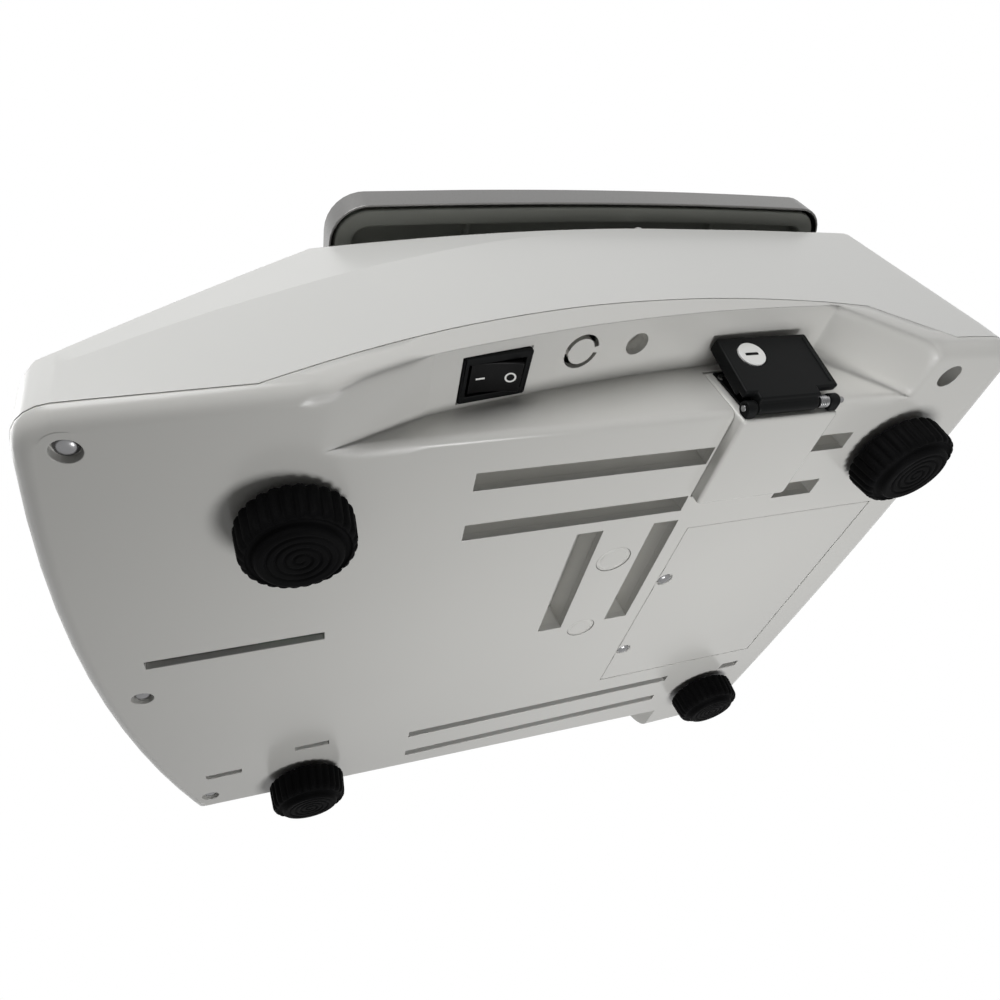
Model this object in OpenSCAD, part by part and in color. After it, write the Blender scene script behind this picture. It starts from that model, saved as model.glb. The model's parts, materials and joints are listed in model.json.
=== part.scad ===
// Electronic counting scale: a two-part plastic housing on four levelling feet, a stainless pan on a load
// cell, a mains switch and a flapped mains socket in the recess on the right-hand side.
// The origin is on the ground under the middle of the housing.
// X runs to the operator's right, Y to the rear.

/* [Housing] */
// Width of the housing at its ends
body_w = 252; // [244:1:264]
// Length of the housing, front to rear
body_len = 304; // [296:1:320]
// Height of the deck above the underside of the base
deck_h = 75; // [72:0.5:84]
// Wall thickness of both shells
wall = 2.5; // [2:0.1:3]
// How far each long side bulges out
side_bulge = 3.5; // [1:0.5:5]
// Radius of the front edge's bow
bow_r = 510; // [480:10:900]
// How far the bow's foremost point lies right of the middle
bow_x = 35; // [20:1:40]
// How far the rear edge bows out
rear_bow = 4.5; // [2:0.5:6]
// Radius of the four corners in plan
corner_r = 11; // [8:0.5:14]
// Radius of the roll along the bottom edge
edge_r = 5; // [3:0.5:6]
// Height of the front wall where it meets the panel
nose_h = 13; // [11:0.5:14]
// Distance from the front to the deck's front edge
panel_run = 80.3; // [76:0.1:86]
// How far the rear wall leans in at the top
rear_lean = 6; // [3:0.5:8]
// Lean of the facet above the side crease, in degrees
facet_deg = 11; // [8:0.5:13]
// Joint line between the shells at the front
split_low = 4.5; // [4:0.5:6]
// Joint line between the shells at its highest
split_high = 30; // [28:0.5:34]
// Width of the joint line
split_gap = 0.3; // [0.2:0.05:0.5]

/* [Recesses] */
// Distance of the right-hand recess wall from the middle
recess_x = 109; // [107:0.5:112]
// Front end of the right-hand recess
recess_front = -78.7; // [-82:0.1:-74]
// Rear end of the right-hand recess
recess_rear = 111.3; // [108:0.1:112]
// Height of the recess ceiling at its rear
recess_h = 24.5; // [23:0.5:26]
// Radius of the recess ceiling's arch
recess_r = 635; // [560:5:800]
// Distance of the left-hand undercut from the middle, at the front
undercut_x = 97; // [95:0.5:102]
// Slope of the left-hand undercut, in degrees
undercut_deg = 26; // [22:0.5:30]
// Rear end of the left-hand undercut
undercut_rear = 100.3; // [96:0.1:104]

/* [Vents] */
// Width of the two long vents beside the socket
vent_w = 7.3; // [5:0.1:8]
// Front end of the long vents
vent_front = -36.5; // [-40:0.5:-30]
// Rear end of the long vents
vent_rear = 97.3; // [92:0.1:100]
// Width of the two vents on the left
slit_w = 5; // [3:0.1:6]
// Width of the narrow vents at the front
small_slit_w = 3.6; // [3:0.1:5]

/* [Feet] */
// Diameter of a foot's knob
foot_d = 32; // [28:0.5:34]
// Height of a foot's knob
foot_h = 10.6; // [9:0.1:13]
// Gap between a knob and the base
foot_gap = 2.6; // [2.4:0.1:4]
// How far the sole stands proud of the knob
sole_h = 2; // [1:0.1:3]
// Number of grip flutes round a knob
flutes = 28; // [20:1:32]
// Distance between the feet across the scale
foot_span = 173; // [170:0.5:176]
// Distance between the feet front to rear
foot_reach = 204.4; // [200:0.2:210]
// Diameter of a foot's threaded stud
stud_d = 8; // [6:0.5:8]
// Length of the stud above the knob
stud_l = 26; // [22:1:30]
// Radial clearance of a running fit
run_fit = 0.05; // [0.03:0.01:0.08]

/* [Pan] */
// Width of the weighing pan
pan_w = 272; // [266:1:276]
// Length of the weighing pan
pan_len = 193; // [188:1:198]
// Height of the pan's rim
pan_rim = 10; // [9:0.5:12]
// Gap between the deck and the pan's rim
pan_gap = 5; // [4.5:0.5:8]
// Distance of the pan's middle behind the middle of the housing
pan_y = 29.8; // [28:0.1:32]
// Corner radius of the pan
pan_corner = 13; // [10:0.5:16]
// Bow of the pan's edges
pan_bow = 2; // [0.5:0.5:3]
// Thickness of the pan's steel sheet
sheet = 0.8; // [0.6:0.1:1]
// Width of the tray's lip under the pan
lip_w = 5.5; // [4:0.5:7]
// Distance between the pan's posts across the scale
post_span = 190; // [180:1:196]
// Distance between the pan's posts front to rear
post_reach = 124; // [116:1:128]
// Diameter of a post
post_d = 10; // [8:0.5:12]

/* [Load cell] */
// Length of the load cell
cell_l = 124; // [116:1:130]
// Width of the load cell
cell_w = 30; // [26:0.5:30]
// Height of the load cell
cell_h = 22; // [18:0.5:22]
// Height of the block under the load cell
cell_lift = 15.5; // [13:0.5:16]
// Distance of the load cell behind the middle of the housing
cell_y = 24.2; // [22:0.1:26]
// Travel of the pan down to its overload stop
pan_travel = 0.5; // [0.4:0.1:1]

/* [Battery] */
// Width of the battery door
door_w = 109.5; // [107:0.5:112]
// Length of the battery door
door_l = 83; // [80:0.5:84]
// Distance from the battery door to the rear end of the housing
door_rear = 19; // [18:0.5:20]
// Gap round the battery door
door_gap = 0.3; // [0.2:0.05:0.5]
// Width of the battery
battery_w = 101; // [90:1:101]
// Length of the battery
battery_l = 70; // [60:1:70]
// Height of the battery
battery_h = 47; // [40:1:48]

/* [Socket] */
// Width of the socket box along the side of the scale
box_w = 35.4; // [34:0.1:37]
// Middle of the socket box
box_y = 61.1; // [60:0.1:63]
// How far the socket box reaches into the base
box_run = 36.5; // [34:0.5:38]
// How far the socket box stands below the base
box_drop = 4; // [3:0.5:5]
// Height of the socket box above the underside
box_h = 20; // [19.5:0.5:21]
// Width of the flap
flap_w = 34; // [32:0.5:35]
// Height of the flap above its hinge
flap_h = 24; // [22:0.5:26]
// Thickness of the flap
flap_t = 4; // [3:0.1:5]
// Lean of the closed flap, in degrees
flap_lean = 12; // [10:0.5:14]
// Diameter of the flap's hinge pin
pin_d = 2; // [1.6:0.1:2.4]
// Diameter of the flap's coin-turn latch
latch_d = 9; // [7:0.5:10]

/* [Switch] */
// Length of the switch's frame
switch_l = 21; // [20:0.1:23]
// Width of the switch's frame
switch_w = 15; // [14:0.1:16]
// Middle of the switch along the side of the scale
switch_y = -31; // [-33:0.5:-28]
// Distance of the switch from the middle of the scale
switch_x = 118.2; // [117.8:0.1:118.4]
// Tilt of a rocker from level, in degrees
rocker_deg = 10; // [8:0.5:12]

/* [Display] */
// Width of the display window
window_w = 200; // [180:1:205]
// Height of the display window
window_h = 27; // [24:0.5:28]
// Width of the keypad
keypad_w = 190; // [170:1:196]
// Height of the keypad
keypad_h = 38; // [34:0.5:38]

/* [Hidden] */
$fn = 48;

// small overlap of a cut, and thickness of a hull's slab
e = 0.01;
slab = 0.1;
ground = foot_gap + foot_h + sole_h;
front = -body_len / 2;
rear = body_len / 2;
side_r = pow(body_len / 2, 2) / (2 * side_bulge);
bulge_y = 10;
rear_r = pow(body_w / 2, 2) / (2 * rear_bow);
deck_front = front + panel_run;
panel_deg = atan((deck_h - nose_h) / panel_run);
panel_l = (deck_h - nose_h) / sin(panel_deg);
crease_end = 42.3;
crease_drop = 21.8;
crease_power = 1.68;
curve_steps = 24;
far = 200;
foot_mid = 15.3;
thread_pitch = 1.25;
pan_z = deck_h + pan_gap;
tray_top = pan_z + pan_rim - sheet - 0.3;
seat_gap = 0.3;
spider_z = wall + cell_lift + cell_h + 14;
spider_t = 6;
cell_z = wall + cell_lift;
cell_top = cell_z + cell_h;
post_hole_d = post_d + 8;
pad_h = 3;
post_top = tray_top - 2 - 4 - seat_gap - pad_h;
hinge_x = recess_x + 2.4;
hinge_z = -0.8;
door_t = wall;
ledge = 2;
// housing screws: place, height of the boss in the base, depth of the screw's seat, radius of its socket
screw_edge = body_w / 2 - 9.6;
screw_points = [[screw_edge, front + 17.8, 10, 2.6, 3.5], [5.2, front + 13.9, 10, 2.6, 3.5],
    [-87.6, front + 24.8, 10, 2.6, 3.5], [screw_edge, rear - 30.1, 42, 34, 4.1]];
thread_r = 1.25;
thread_bite = 7;
boss_r = 5;
// battery door: its middle, its screws and their recess
door_x = 0.15;
door_front = rear - door_rear - door_l;
door_y = door_front + door_l / 2;
door_seat = 1.2;
door_screw_points = [[23.2, door_front + 3.3], [-28.8, door_front + 3.3]];
battery_y = door_front + 10.5;
terminal_x = 30;
// vents: places across the scale and their ends
cell_vent = [1.1, 60.6];
cell_vent_near = 9.75;
cell_vent_w = 9.8;
side_vents = [65.7, 88];
left_vents = [-69.3, -89.1];
// load cell: middle of each clamped end, half the spacing of its screws, and the two holes below it
clamp_x = 44;
clamp_step = 6.5;
bolt_r = 2.5;
bolt_head_r = 5;
bolt_head_h = 4;
plug_points = [[42.7, 6.7], [-1.8, 5.8]];
free_end = -60;
// right-hand recess
recess_mid = 83.7;
recess_ramp = 23;
switch_slope = 8;
ring_y = -3.5;
cable_hole_y = 15.8;
// feet
nut_d = 15.2;
nut_z = 7;
nut_h = 6.5;
stud_sink = 8;
foot_corner = [[1, -1], [-1, -1], [1, 1], [-1, 1]];
// mains inlet
inlet_w = 24;
inlet_h = 15;
inlet_z = 1.6;
inlet_l = 22;
flange_t = 0.8;
// flap and its hinge
ear_w = 3.5;
ear_gap = 0.3;
barrel_r = 2.3;
ear_y = flap_w / 2 - ear_w;
latch_y = -7.5;
latch_z = flap_h - 7;
spring_l = 4;
// switch
bezel_w = 2.3;
pivot_r = 1;
// panel
glass_t = 1.5;
glass_ledge = 3;
film_t = 0.8;
key_gap = 3;
window_v = panel_l - 4 - window_h / 2;
keypad_v = window_v - window_h / 2 - 4 - keypad_h / 2;
level_u = window_w / 2 + 10;
level_r = 6.5;
rear_window_w = 150;
rear_window_h = 26;
rear_deg = atan(rear_lean / (deck_h - nose_h));
lcd_t = 3.6;
card_t = 1.6;
// main board
board_z = wall + 5;
board_w = 120;
board_l = 70;
board_at = [-board_w / 2, front + 52];
board_hole = 6;
// transformer
core_at = [-106, -2];
core_w = 48;
core_l = 50;
core_z = wall + 2;

// ---- curves of the housing ----

// Distance of the side from the middle, at a place along the scale
function side_x(y) = body_w / 2 + side_bulge - pow(y - bulge_y, 2) / (2 * side_r);

// Height of the top surface: the sloping panel, then the flat deck
function top_z(y) = min(deck_h, nose_h + (y - front) * tan(panel_deg));

// Height of the crease where the side wall turns into the facet
function crease_z(y) = deck_h - crease_drop * pow(max(0, crease_end - y) / 100, crease_power);

// Distance of the facet's upper edge from the middle
function deck_x(y) = side_x(y) - (top_z(y) - min(top_z(y), crease_z(y))) * tan(facet_deg);

// Points spaced evenly from a to b
function steps(a, b, n) = [for (i = [0:n]) a + (b - a) * i / n];

// Triangles that close a loft of m-sided sections
function loft_faces(n, m) = concat(
    [for (i = [0:n - 2]) for (j = [0:m - 1]) [i * m + j, (i + 1) * m + j, i * m + (j + 1) % m]],
    [for (i = [0:n - 2]) for (j = [0:m - 1])
        [i * m + (j + 1) % m, (i + 1) * m + j, (i + 1) * m + (j + 1) % m]],
    [[for (j = [0:m - 1]) j]],
    [[for (j = [m - 1:-1:0]) (n - 1) * m + j]]
);

// Moves the scale from its underside to the ground
module place() {
    translate([0, 0, ground]) children();
}

// Extrudes a side profile, drawn in Y and Z, along X from x0 to x1
module along_x(x0, x1) {
    translate([x0, 0, 0]) rotate([90, 0, 90]) linear_extrude(x1 - x0) children();
}

// Puts a piece on the sloping panel, its own Y up the slope and its own Z out of it
module on_panel() {
    translate([0, front, nose_h]) rotate([panel_deg, 0, 0]) children();
}

// A rounded rectangle
module round_rect(w, l, r) {
    translate([-w / 2 + r, -l / 2]) square([w - 2 * r, l]);
    translate([-w / 2, -l / 2 + r]) square([w, l - 2 * r]);
    for (x = [-1, 1]) for (y = [-1, 1]) translate([x * (w / 2 - r), y * (l / 2 - r)]) circle(r);
}

// ---- solids of the housing ----

// Plan outline drawn in by g, its rear edge moved forward by lean
module plan_2d(g, lean = 0) {
    offset(delta = -g) offset(r = corner_r) offset(delta = -corner_r) intersection() {
        polygon(concat(
            [for (x = steps(-150, 150, 16)) [x, front + pow(x - bow_x, 2) / (2 * bow_r)]],
            [for (x = steps(150, -150, 10)) [x, rear - lean - pow(x, 2) / (2 * rear_r)]]
        ));
        polygon(concat(
            [for (y = steps(-170, 170, 8)) [side_x(y), y]],
            [for (y = steps(170, -170, 8)) [-side_x(y), y]]
        ));
    }
}

// Body of the housing up past the deck, its bottom edge rolled and its rear wall leaning
module plan_solid() {
    $fn = 24;
    hull() {
        for (a = [0, 22.5, 45, 67.5, 90]) {
            translate([0, 0, edge_r * (1 - cos(a))]) linear_extrude(slab) plan_2d(edge_r * (1 - sin(a)));
        }
        translate([0, 0, nose_h]) linear_extrude(slab) plan_2d(0);
        translate([0, 0, deck_h]) linear_extrude(slab) plan_2d(0, rear_lean);
    }
}

// Room inside the housing, before the panel and the deck close it
module inner_solid() {
    $fn = 24;
    hull() {
        translate([0, 0, wall]) linear_extrude(slab) plan_2d(wall);
        translate([0, 0, nose_h]) linear_extrude(slab) plan_2d(wall);
        translate([0, 0, deck_h]) linear_extrude(slab) plan_2d(wall, rear_lean);
    }
}

// Side outline: the panel and the deck, open to the front, the rear and below
module side_2d(g) {
    over = 30;
    offset(delta = -g) polygon([
        [front - over, -over], [front - over, top_z(front - over)], [deck_front, deck_h],
        [rear + over, deck_h], [rear + over, -over]
    ]);
}

// The wedge that leaves the leaning facet above the crease on the right
module facet_cut(g) {
    lean = tan(facet_deg);
    y_list = steps(front - 20, crease_end, curve_steps);
    sections = [for (y = y_list)
        let (x0 = side_x(y) - g, z0 = min(top_z(y), crease_z(y)), x1 = deck_x(y) - g, z1 = top_z(y))
        [[x0 + 3, y, z0 - 3 / lean], [x1 - 3, y, z1 + 3 / lean],
            [x0 + 30, y, z1 + 3 / lean], [x0 + 30, y, z0 - 3 / lean]]
    ];
    polyhedron([for (s = sections) for (p = s) p], loft_faces(len(sections), 4));
}

module block() {
    difference() {
        intersection() {
            plan_solid();
            along_x(-far, far) side_2d(0);
        }
        facet_cut(0);
        mirror([1, 0, 0]) facet_cut(0);
    }
}

module room() {
    difference() {
        intersection() {
            inner_solid();
            along_x(-far, far) side_2d(wall);
        }
        facet_cut(wall);
        mirror([1, 0, 0]) facet_cut(wall);
    }
}

// Side profile of the right-hand recess
module recess_2d(g) {
    y_list = steps(recess_front + 28.7, recess_rear - recess_ramp, curve_steps);
    offset(delta = g) polygon(concat(
        [[recess_front, -10], [recess_front, 0]],
        [for (y = y_list) [y, ceiling_z(y)]],
        [[recess_rear, 0], [recess_rear, -10]]
    ));
}

module right_recess(g) {
    along_x(recess_x - g, far) recess_2d(g);
}

module left_undercut(g) {
    swing = 2.72;
    intersection() {
        translate([-undercut_x, -130, 0]) rotate([90, 0, swing]) translate([0, 0, -260]) linear_extrude(400)
            offset(delta = g) polygon([[0, -10], [0, 0], [-60, 60 * tan(undercut_deg)], [-60, -10]]);
        along_x(-far, 0) offset(delta = g)
            polygon([[-far, -10], [-far, 40], [undercut_rear - 20, 40], [undercut_rear, 0], [undercut_rear, -10]]);
    }
}

module skin() {
    difference() {
        block();
        right_recess(0);
        left_undercut(0);
        difference() {
            room();
            right_recess(wall);
            left_undercut(wall);
        }
    }
}

// Everything below the joint line, lifted by g
module below_split(g) {
    arc_y = 36.3;
    arc_r = 336.2;
    ramp_end = 121.3;
    arc_front = -92.7;
    y_list = steps(arc_front, 100.3, curve_steps);
    arc_base = split_high - arc_r;
    along_x(-far, far) polygon(concat(
        [[-far, -50], [-far, split_low + g]],
        [for (y = y_list) [y, max(split_low, arc_base + sqrt(pow(arc_r, 2) - pow(y - arc_y, 2))) + g]],
        [[ramp_end, split_low + 1 + g], [far, split_low + 0.5 + g], [far, -50]]
    ));
}

// ---- shells ----

module base_housing() {
    color("gainsboro") place() difference() {
        union() {
            intersection() {
                skin();
                below_split(0);
            }
            base_bosses();
            base_trims();
        }
        base_cuts();
    }
}

module base_bosses() {
    // screw bosses
    for (p = screw_points) translate([p[0], p[1], e]) cylinder(r = 5.6, h = p[2] - e);
    // foot bosses
    foot_places() translate([0, 0, 1]) cylinder(d = stud_d + 10, h = nut_z + 6);
    // ledge round the battery door's opening
    translate([door_x, door_y, wall - e]) linear_extrude(2) difference() {
        square([door_w + 6, door_l + 6], center = true);
        square([door_w - 2 * ledge, door_l - 2 * ledge], center = true);
    }
    for (p = door_screw_points) translate([p[0], p[1], wall]) cylinder(r = 4.6, h = thread_bite + 1);
}

// Stiffening ribs and the pads that carry inner parts
module base_trims() {
    board_holes() translate([0, 0, wall - e]) cylinder(r = 3, h = board_z - wall);
    translate([core_at[0], core_at[1], wall - e]) for (x = [4, core_w - 4]) for (y = [6, core_l - 6])
        translate([x, y, 0]) cylinder(r = 3.5, h = core_z - wall);
}

module board_holes() {
    for (x = [board_hole, board_w - board_hole]) for (y = [board_hole, board_l - board_hole])
        translate([board_at[0] + x, board_at[1] + y, 0]) children();
}

module foot_places() {
    for (x = [-1, 1]) for (y = [-1, 1])
        translate([x * foot_span / 2, foot_mid + y * foot_reach / 2, 0]) children();
}

module slot(x0, x1, y0, y1) {
    translate([x0, y0, -1]) cube([x1 - x0, y1 - y0, wall + 2]);
}

// A slot of width w whose middle is at x
module slit(x, w, y0, y1) {
    slot(x - w / 2, x + w / 2, y0, y1);
}

module base_cuts() {
    // sockets of the housing screws
    for (p = screw_points) translate([p[0], p[1], -e]) {
        cylinder(r = p[4], h = p[3] + e);
        cylinder(r = 1.7, h = p[2] + 1);
    }
    // foot holes and their nut pockets
    foot_places() translate([0, 0, -e]) cylinder(d = stud_d + 1, h = 20);
    foot_places() translate([0, 0, nut_z]) cylinder(d = nut_d, h = 10, $fn = 6);
    // battery door
    translate([door_x, door_y, -e]) linear_extrude(wall + e)
        square([door_w + 2 * door_gap, door_l + 2 * door_gap], center = true);
    translate([door_x, door_y, 0]) linear_extrude(wall + 5.5)
        square([door_w - 2 * ledge, door_l - 2 * ledge], center = true);
    for (p = door_screw_points) translate([p[0], p[1], 0])
        cylinder(r = thread_r + 0.05, h = wall + thread_bite);
    // vents over the load cell
    slot(cell_vent[0], cell_vent[1], cell_y - cell_vent_near - cell_vent_w, cell_y - cell_vent_near);
    slot(cell_vent[0], cell_vent[1], cell_y + cell_vent_near, cell_y + cell_vent_near + cell_vent_w);
    for (p = plug_points) translate([p[0], cell_y, -e]) {
        cylinder(r = p[1], h = 1.6);
        cylinder(r = p[1] - 1.5, h = 10);
    }
    // long vents beside the socket
    for (x = side_vents) {
        slot(x, x + vent_w, vent_front, box_y - box_w / 2 - 1);
        slot(x, x + vent_w, box_y + box_w / 2 + 1.2, vent_rear);
    }
    // narrow vents
    for (x = left_vents) slit(x, slit_w, -41.2, 91.8);
    slit(left_vents[0], slit_w, rear - 28.1, rear - 18.2);
    slit(24.85, 4.3, front + 17.9, front + 73.4);
    slit(-68.4, small_slit_w, front + 25.3, front + 39.3);
    slit(-59, small_slit_w, front + 61.3, front + 75.3);
    // socket box
    translate([recess_x - box_run - 0.1, box_y - box_w / 2 - 0.1, -e])
        cube([box_run + 1, box_w + 0.2, box_h + 0.1]);
    // switch
    on_ceiling() translate([0, 0, -15]) linear_extrude(30)
        square([switch_w - 2.4, switch_l - 1.6], center = true);
    on_ceiling() linear_extrude(20) square([switch_w + 0.4, switch_l + 0.4], center = true);
    // knock-out ring and cable hole in the recess ceiling
    translate([switch_x + 2.8, ring_y, 5]) difference() {
        cylinder(r = 5.5, h = 14);
        translate([0, 0, -1]) cylinder(r = 4.5, h = 16);
        for (a = [35, 215]) rotate([0, 0, a]) translate([0, -1, -1]) cube([8, 2, 16]);
    }
    translate([switch_x + 2.6, cable_hole_y, 5]) cylinder(r = 3.7, h = 30);
}

// Puts a piece on the ceiling of the right-hand recess at the switch, its own Z pointing down and out
module on_ceiling() {
    translate([switch_x, switch_y, ceiling_z(switch_y) + 1]) rotate([switch_slope, 0, 0])
        mirror([0, 0, 1]) children();
}

// Height of the recess ceiling at a place along the scale
function ceiling_z(y) = recess_h - recess_r + sqrt(pow(recess_r, 2) - pow(y - recess_mid, 2));

module top_housing() {
    color("whitesmoke") place() difference() {
        union() {
            difference() {
                skin();
                below_split(split_gap);
            }
            top_bosses();
            // nibs at the deck's edges
            for (x = [-1, 1]) translate([x * (side_x(crease_end) - 2.6), crease_end, deck_h - 0.4]) {
                cylinder(r = 2, h = 2.2);
                translate([0, 0, 2.2]) sphere(r = 2);
            }
        }
        top_cuts();
    }
}

// Top of an upper screw boss, just under the outer face
function boss_top(y) = top_z(y - boss_r) - wall * 0.6;

module top_bosses() {
    for (p = screw_points) {
        top = boss_top(p[1]);
        difference() {
            translate([p[0], p[1], p[2] + split_gap]) cylinder(r = boss_r, h = top - p[2] - split_gap);
            translate([p[0], p[1], 0]) cylinder(r = thread_r + 0.05, h = top - wall - 1);
        }
    }
}

module top_cuts() {
    for (x = [-1, 1]) for (y = [-1, 1]) {
        translate([x * post_span / 2, pan_y + y * post_reach / 2, deck_h - 10])
            cylinder(d = post_hole_d, h = 20);
    }
    on_panel() {
        window_seat(window_v, window_w, window_h);
        translate([0, keypad_v, -film_t]) linear_extrude(10)
            round_rect(keypad_w + 0.4, keypad_h + 0.4, 4.2);
        translate([level_u, window_v, -10]) cylinder(r = level_r + 0.2, h = 20);
    }
    on_rear() window_seat(0, rear_window_w, rear_window_h);
}

// Opening for a window at v up the slope, with the ledge that it lies on
module window_seat(v, w, h) {
    translate([0, v, -10]) linear_extrude(20) round_rect(w - 2 * glass_ledge, h - 2 * glass_ledge, 2);
    translate([0, v, -glass_t]) linear_extrude(10) round_rect(w + 0.4, h + 0.4, 3.2);
}

// Puts a piece on the rear wall, its own Y up the wall and its own Z out of it
module on_rear() {
    translate([0, rear - rear_lean / 2, (deck_h + nose_h) / 2 + 4]) rotate([90 - rear_deg, 0, 180])
        translate([0, 0, -0.4]) children();
}

// A pan-head cross screw seated at z = 0, its head below and its shank going up
module cross_screw(head_r, head_h, shank_r, shank_l) {
    difference() {
        translate([0, 0, -head_h]) cylinder(r1 = head_r * 0.8, r2 = head_r, h = head_h * 0.4, $fn = 40);
        translate([0, 0, -head_h - e]) for (a = [0, 90]) rotate([0, 0, a])
            cube([head_r * 1.1, 0.7, 1.6], center = true);
    }
    difference() {
        translate([0, 0, -head_h * 0.6]) cylinder(r = head_r, h = head_h * 0.6, $fn = 40);
        translate([0, 0, -head_h - e]) for (a = [0, 90]) rotate([0, 0, a])
            cube([head_r * 1.1, 0.7, 1.6], center = true);
    }
    cylinder(r = shank_r, h = shank_l);
}

module housing_screws() {
    color("silver") place() for (p = screw_points) {
        tip = min(p[2] + thread_bite, boss_top(p[1]) - wall - 1.3);
        translate([p[0], p[1], p[3]]) cross_screw(2.9, 2, thread_r, tip - p[3]);
    }
}

module battery_door() {
    color("gainsboro") place() difference() {
        translate([door_x, door_y, 0]) linear_extrude(door_t) round_rect(door_w, door_l, 0.8);
        for (p = door_screw_points) translate([p[0], p[1], -e]) {
            cylinder(r = 3.3, h = door_seat);
            cylinder(r = thread_r + 0.25, h = door_t + 1);
        }
    }
}

module door_screws() {
    color("silver") place() for (p = door_screw_points) translate([p[0], p[1], door_seat - e])
        cross_screw(2.8, 1.6, thread_r, thread_bite);
}

// Plugs over the load cell's mounting screw and its overload stop
module hole_plugs() {
    color("gainsboro") place() for (p = plug_points) translate([p[0], cell_y, 0.15]) difference() {
        cylinder(r = p[1] - 0.2, h = 1.4);
        translate([0, 0, -e]) difference() {
            cylinder(r = p[1] - 0.9, h = 0.4);
            translate([0, 0, -e]) cylinder(r = p[1] - 1.8, h = 1);
        }
    }
}

// ---- mains socket ----

module socket_box() {
    inner = wall;
    color("gainsboro") place() translate([recess_x - box_run, box_y - box_w / 2, -box_drop]) difference() {
        cube([box_run, box_w, box_drop + box_h]);
        translate([inner, inner, inner]) cube([box_run - 2 * inner, box_w - 2 * inner, box_drop + box_h]);
        // opening for the inlet
        translate([box_run - inner - 1, (box_w - inlet_w) / 2 - 0.1, box_drop + inlet_z - 0.1])
            cube([inner + 2, inlet_w + 0.2, inlet_h + 0.2]);
        // way out for the leads
        translate([-1, box_w / 2 - 5, box_drop + 6]) cube([inner + 2, 10, 30]);
    }
}

// The inlet's outline, its two upper corners cut off
module inlet_2d(g) {
    offset(delta = -g) polygon([
        [-inlet_w / 2, 0], [inlet_w / 2, 0], [inlet_w / 2, inlet_h - 4], [inlet_w / 2 - 4, inlet_h],
        [-inlet_w / 2 + 4, inlet_h], [-inlet_w / 2, inlet_h - 4]
    ]);
}

// Faces along +X out of the socket box, Y and Z as drawn
module at_inlet() {
    translate([recess_x, box_y, inlet_z]) rotate([90, 0, 90]) children();
}

module mains_inlet() {
    color("black") place() at_inlet() {
        difference() {
            union() {
                translate([0, 0, -inlet_l]) linear_extrude(inlet_l) inlet_2d(0);
                linear_extrude(flange_t) translate([-inlet_w / 2 - 3, -0.2])
                    square([inlet_w + 6, inlet_h + 2.4]);
            }
            translate([0, 0, -inlet_l + 3]) linear_extrude(inlet_l) inlet_2d(1.4);
            for (x = [-1, 1]) translate([x * (inlet_w / 2 + 1.6), inlet_h - 1, -e])
                cylinder(r = 0.9, h = 2);
        }
    }
    color("silver") place() at_inlet() for (p = [[-7, 5], [0, 9], [7, 5]]) {
        translate([p[0], p[1], -12.4]) cube([2, 4, 14.8], center = true);
        translate([p[0], p[1] - 1, -inlet_l - 2.5]) cube([1, 5, 5], center = true);
    }
}

module inlet_screws() {
    color("silver") place() at_inlet() for (x = [-1, 1])
        translate([x * (inlet_w / 2 + 1.6), inlet_h - 1, 0]) {
        cylinder(r = 0.85, h = flange_t);
        translate([0, 0, flange_t]) cylinder(r = 1.4, h = 0.5);
    }
}

// Hinge axis of the flap: its own Z up along the flap, its own X out of it
module at_flap() {
    translate([hinge_x, box_y, hinge_z]) rotate([0, flap_lean, 0]) children();
}

module along_y(y0, y1) {
    translate([0, y1, 0]) rotate([90, 0, 0]) linear_extrude(y1 - y0) children();
}

// Sill under the inlet with the two ears that hold the hinge pin
module flap_frame() {
    sill_x = recess_x - hinge_x;
    color("black") place() translate([hinge_x, box_y, hinge_z]) {
        for (s = [-1, 1]) difference() {
            along_y(s > 0 ? ear_y : -ear_y - ear_w, s > 0 ? ear_y + ear_w : -ear_y) union() {
                circle(r = barrel_r);
                translate([sill_x, -barrel_r]) square([-sill_x, barrel_r * 1.4]);
            }
            along_y(-flap_w, flap_w) circle(d = pin_d + 0.02);
        }
    }
}

module socket_flap() {
    color("black") place() at_flap() difference() {
        union() {
            along_y(-ear_y + ear_gap, ear_y - spring_l - 2 * ear_gap) circle(r = barrel_r);
            along_y(-ear_y + ear_gap, ear_y - spring_l - 2 * ear_gap) square([flap_t, barrel_r + 1.5]);
            along_y(-flap_w / 2, flap_w / 2) translate([1.2, barrel_r + 0.4])
                square([flap_t - 1.2, flap_h - barrel_r - 0.4]);
            // lip round three sides
            for (s = [-1, 1]) translate([-0.6, s * (flap_w / 2 - 0.6) - 0.6, barrel_r + 3])
                cube([2, 1.2, flap_h - barrel_r - 3]);
            translate([-0.6, -flap_w / 2, flap_h - 1.2]) cube([2, flap_w, 1.2]);
        }
        along_y(-flap_w, flap_w) circle(d = pin_d + 2 * run_fit);
        translate([-5, latch_y, latch_z]) rotate([0, 90, 0]) cylinder(d = latch_d + 2 * run_fit, h = 20);
    }
}

// Coin-turn latch with its slot and its catch behind the flap
module flap_latch() {
    color("white") place() at_flap() translate([0, latch_y, latch_z]) rotate([0, 90, 0]) {
        difference() {
            translate([0, 0, 0.9]) cylinder(d = latch_d, h = flap_t - 0.6);
            translate([0, 0, flap_t]) cube([1, latch_d * 0.55, 1.6], center = true);
        }
        translate([0, -2, 0.4]) cube([2.4, 8.4, 1.1], center = true);
    }
}

module flap_pin() {
    color("silver") place() translate([hinge_x, box_y, hinge_z])
        along_y(-flap_w / 2 - 0.3, flap_w / 2 + 2.5) circle(d = pin_d);
}

module flap_spring() {
    r = pin_d / 2 + 0.5;
    color("silver") place() translate([hinge_x, box_y + ear_y - spring_l - ear_gap, hinge_z])
        rotate([-90, 0, 0]) difference() {
        cylinder(r = r + 0.6, h = spring_l);
        translate([0, 0, -1]) cylinder(r = r, h = spring_l + 2);
    }
}

// ---- switch ----

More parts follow.
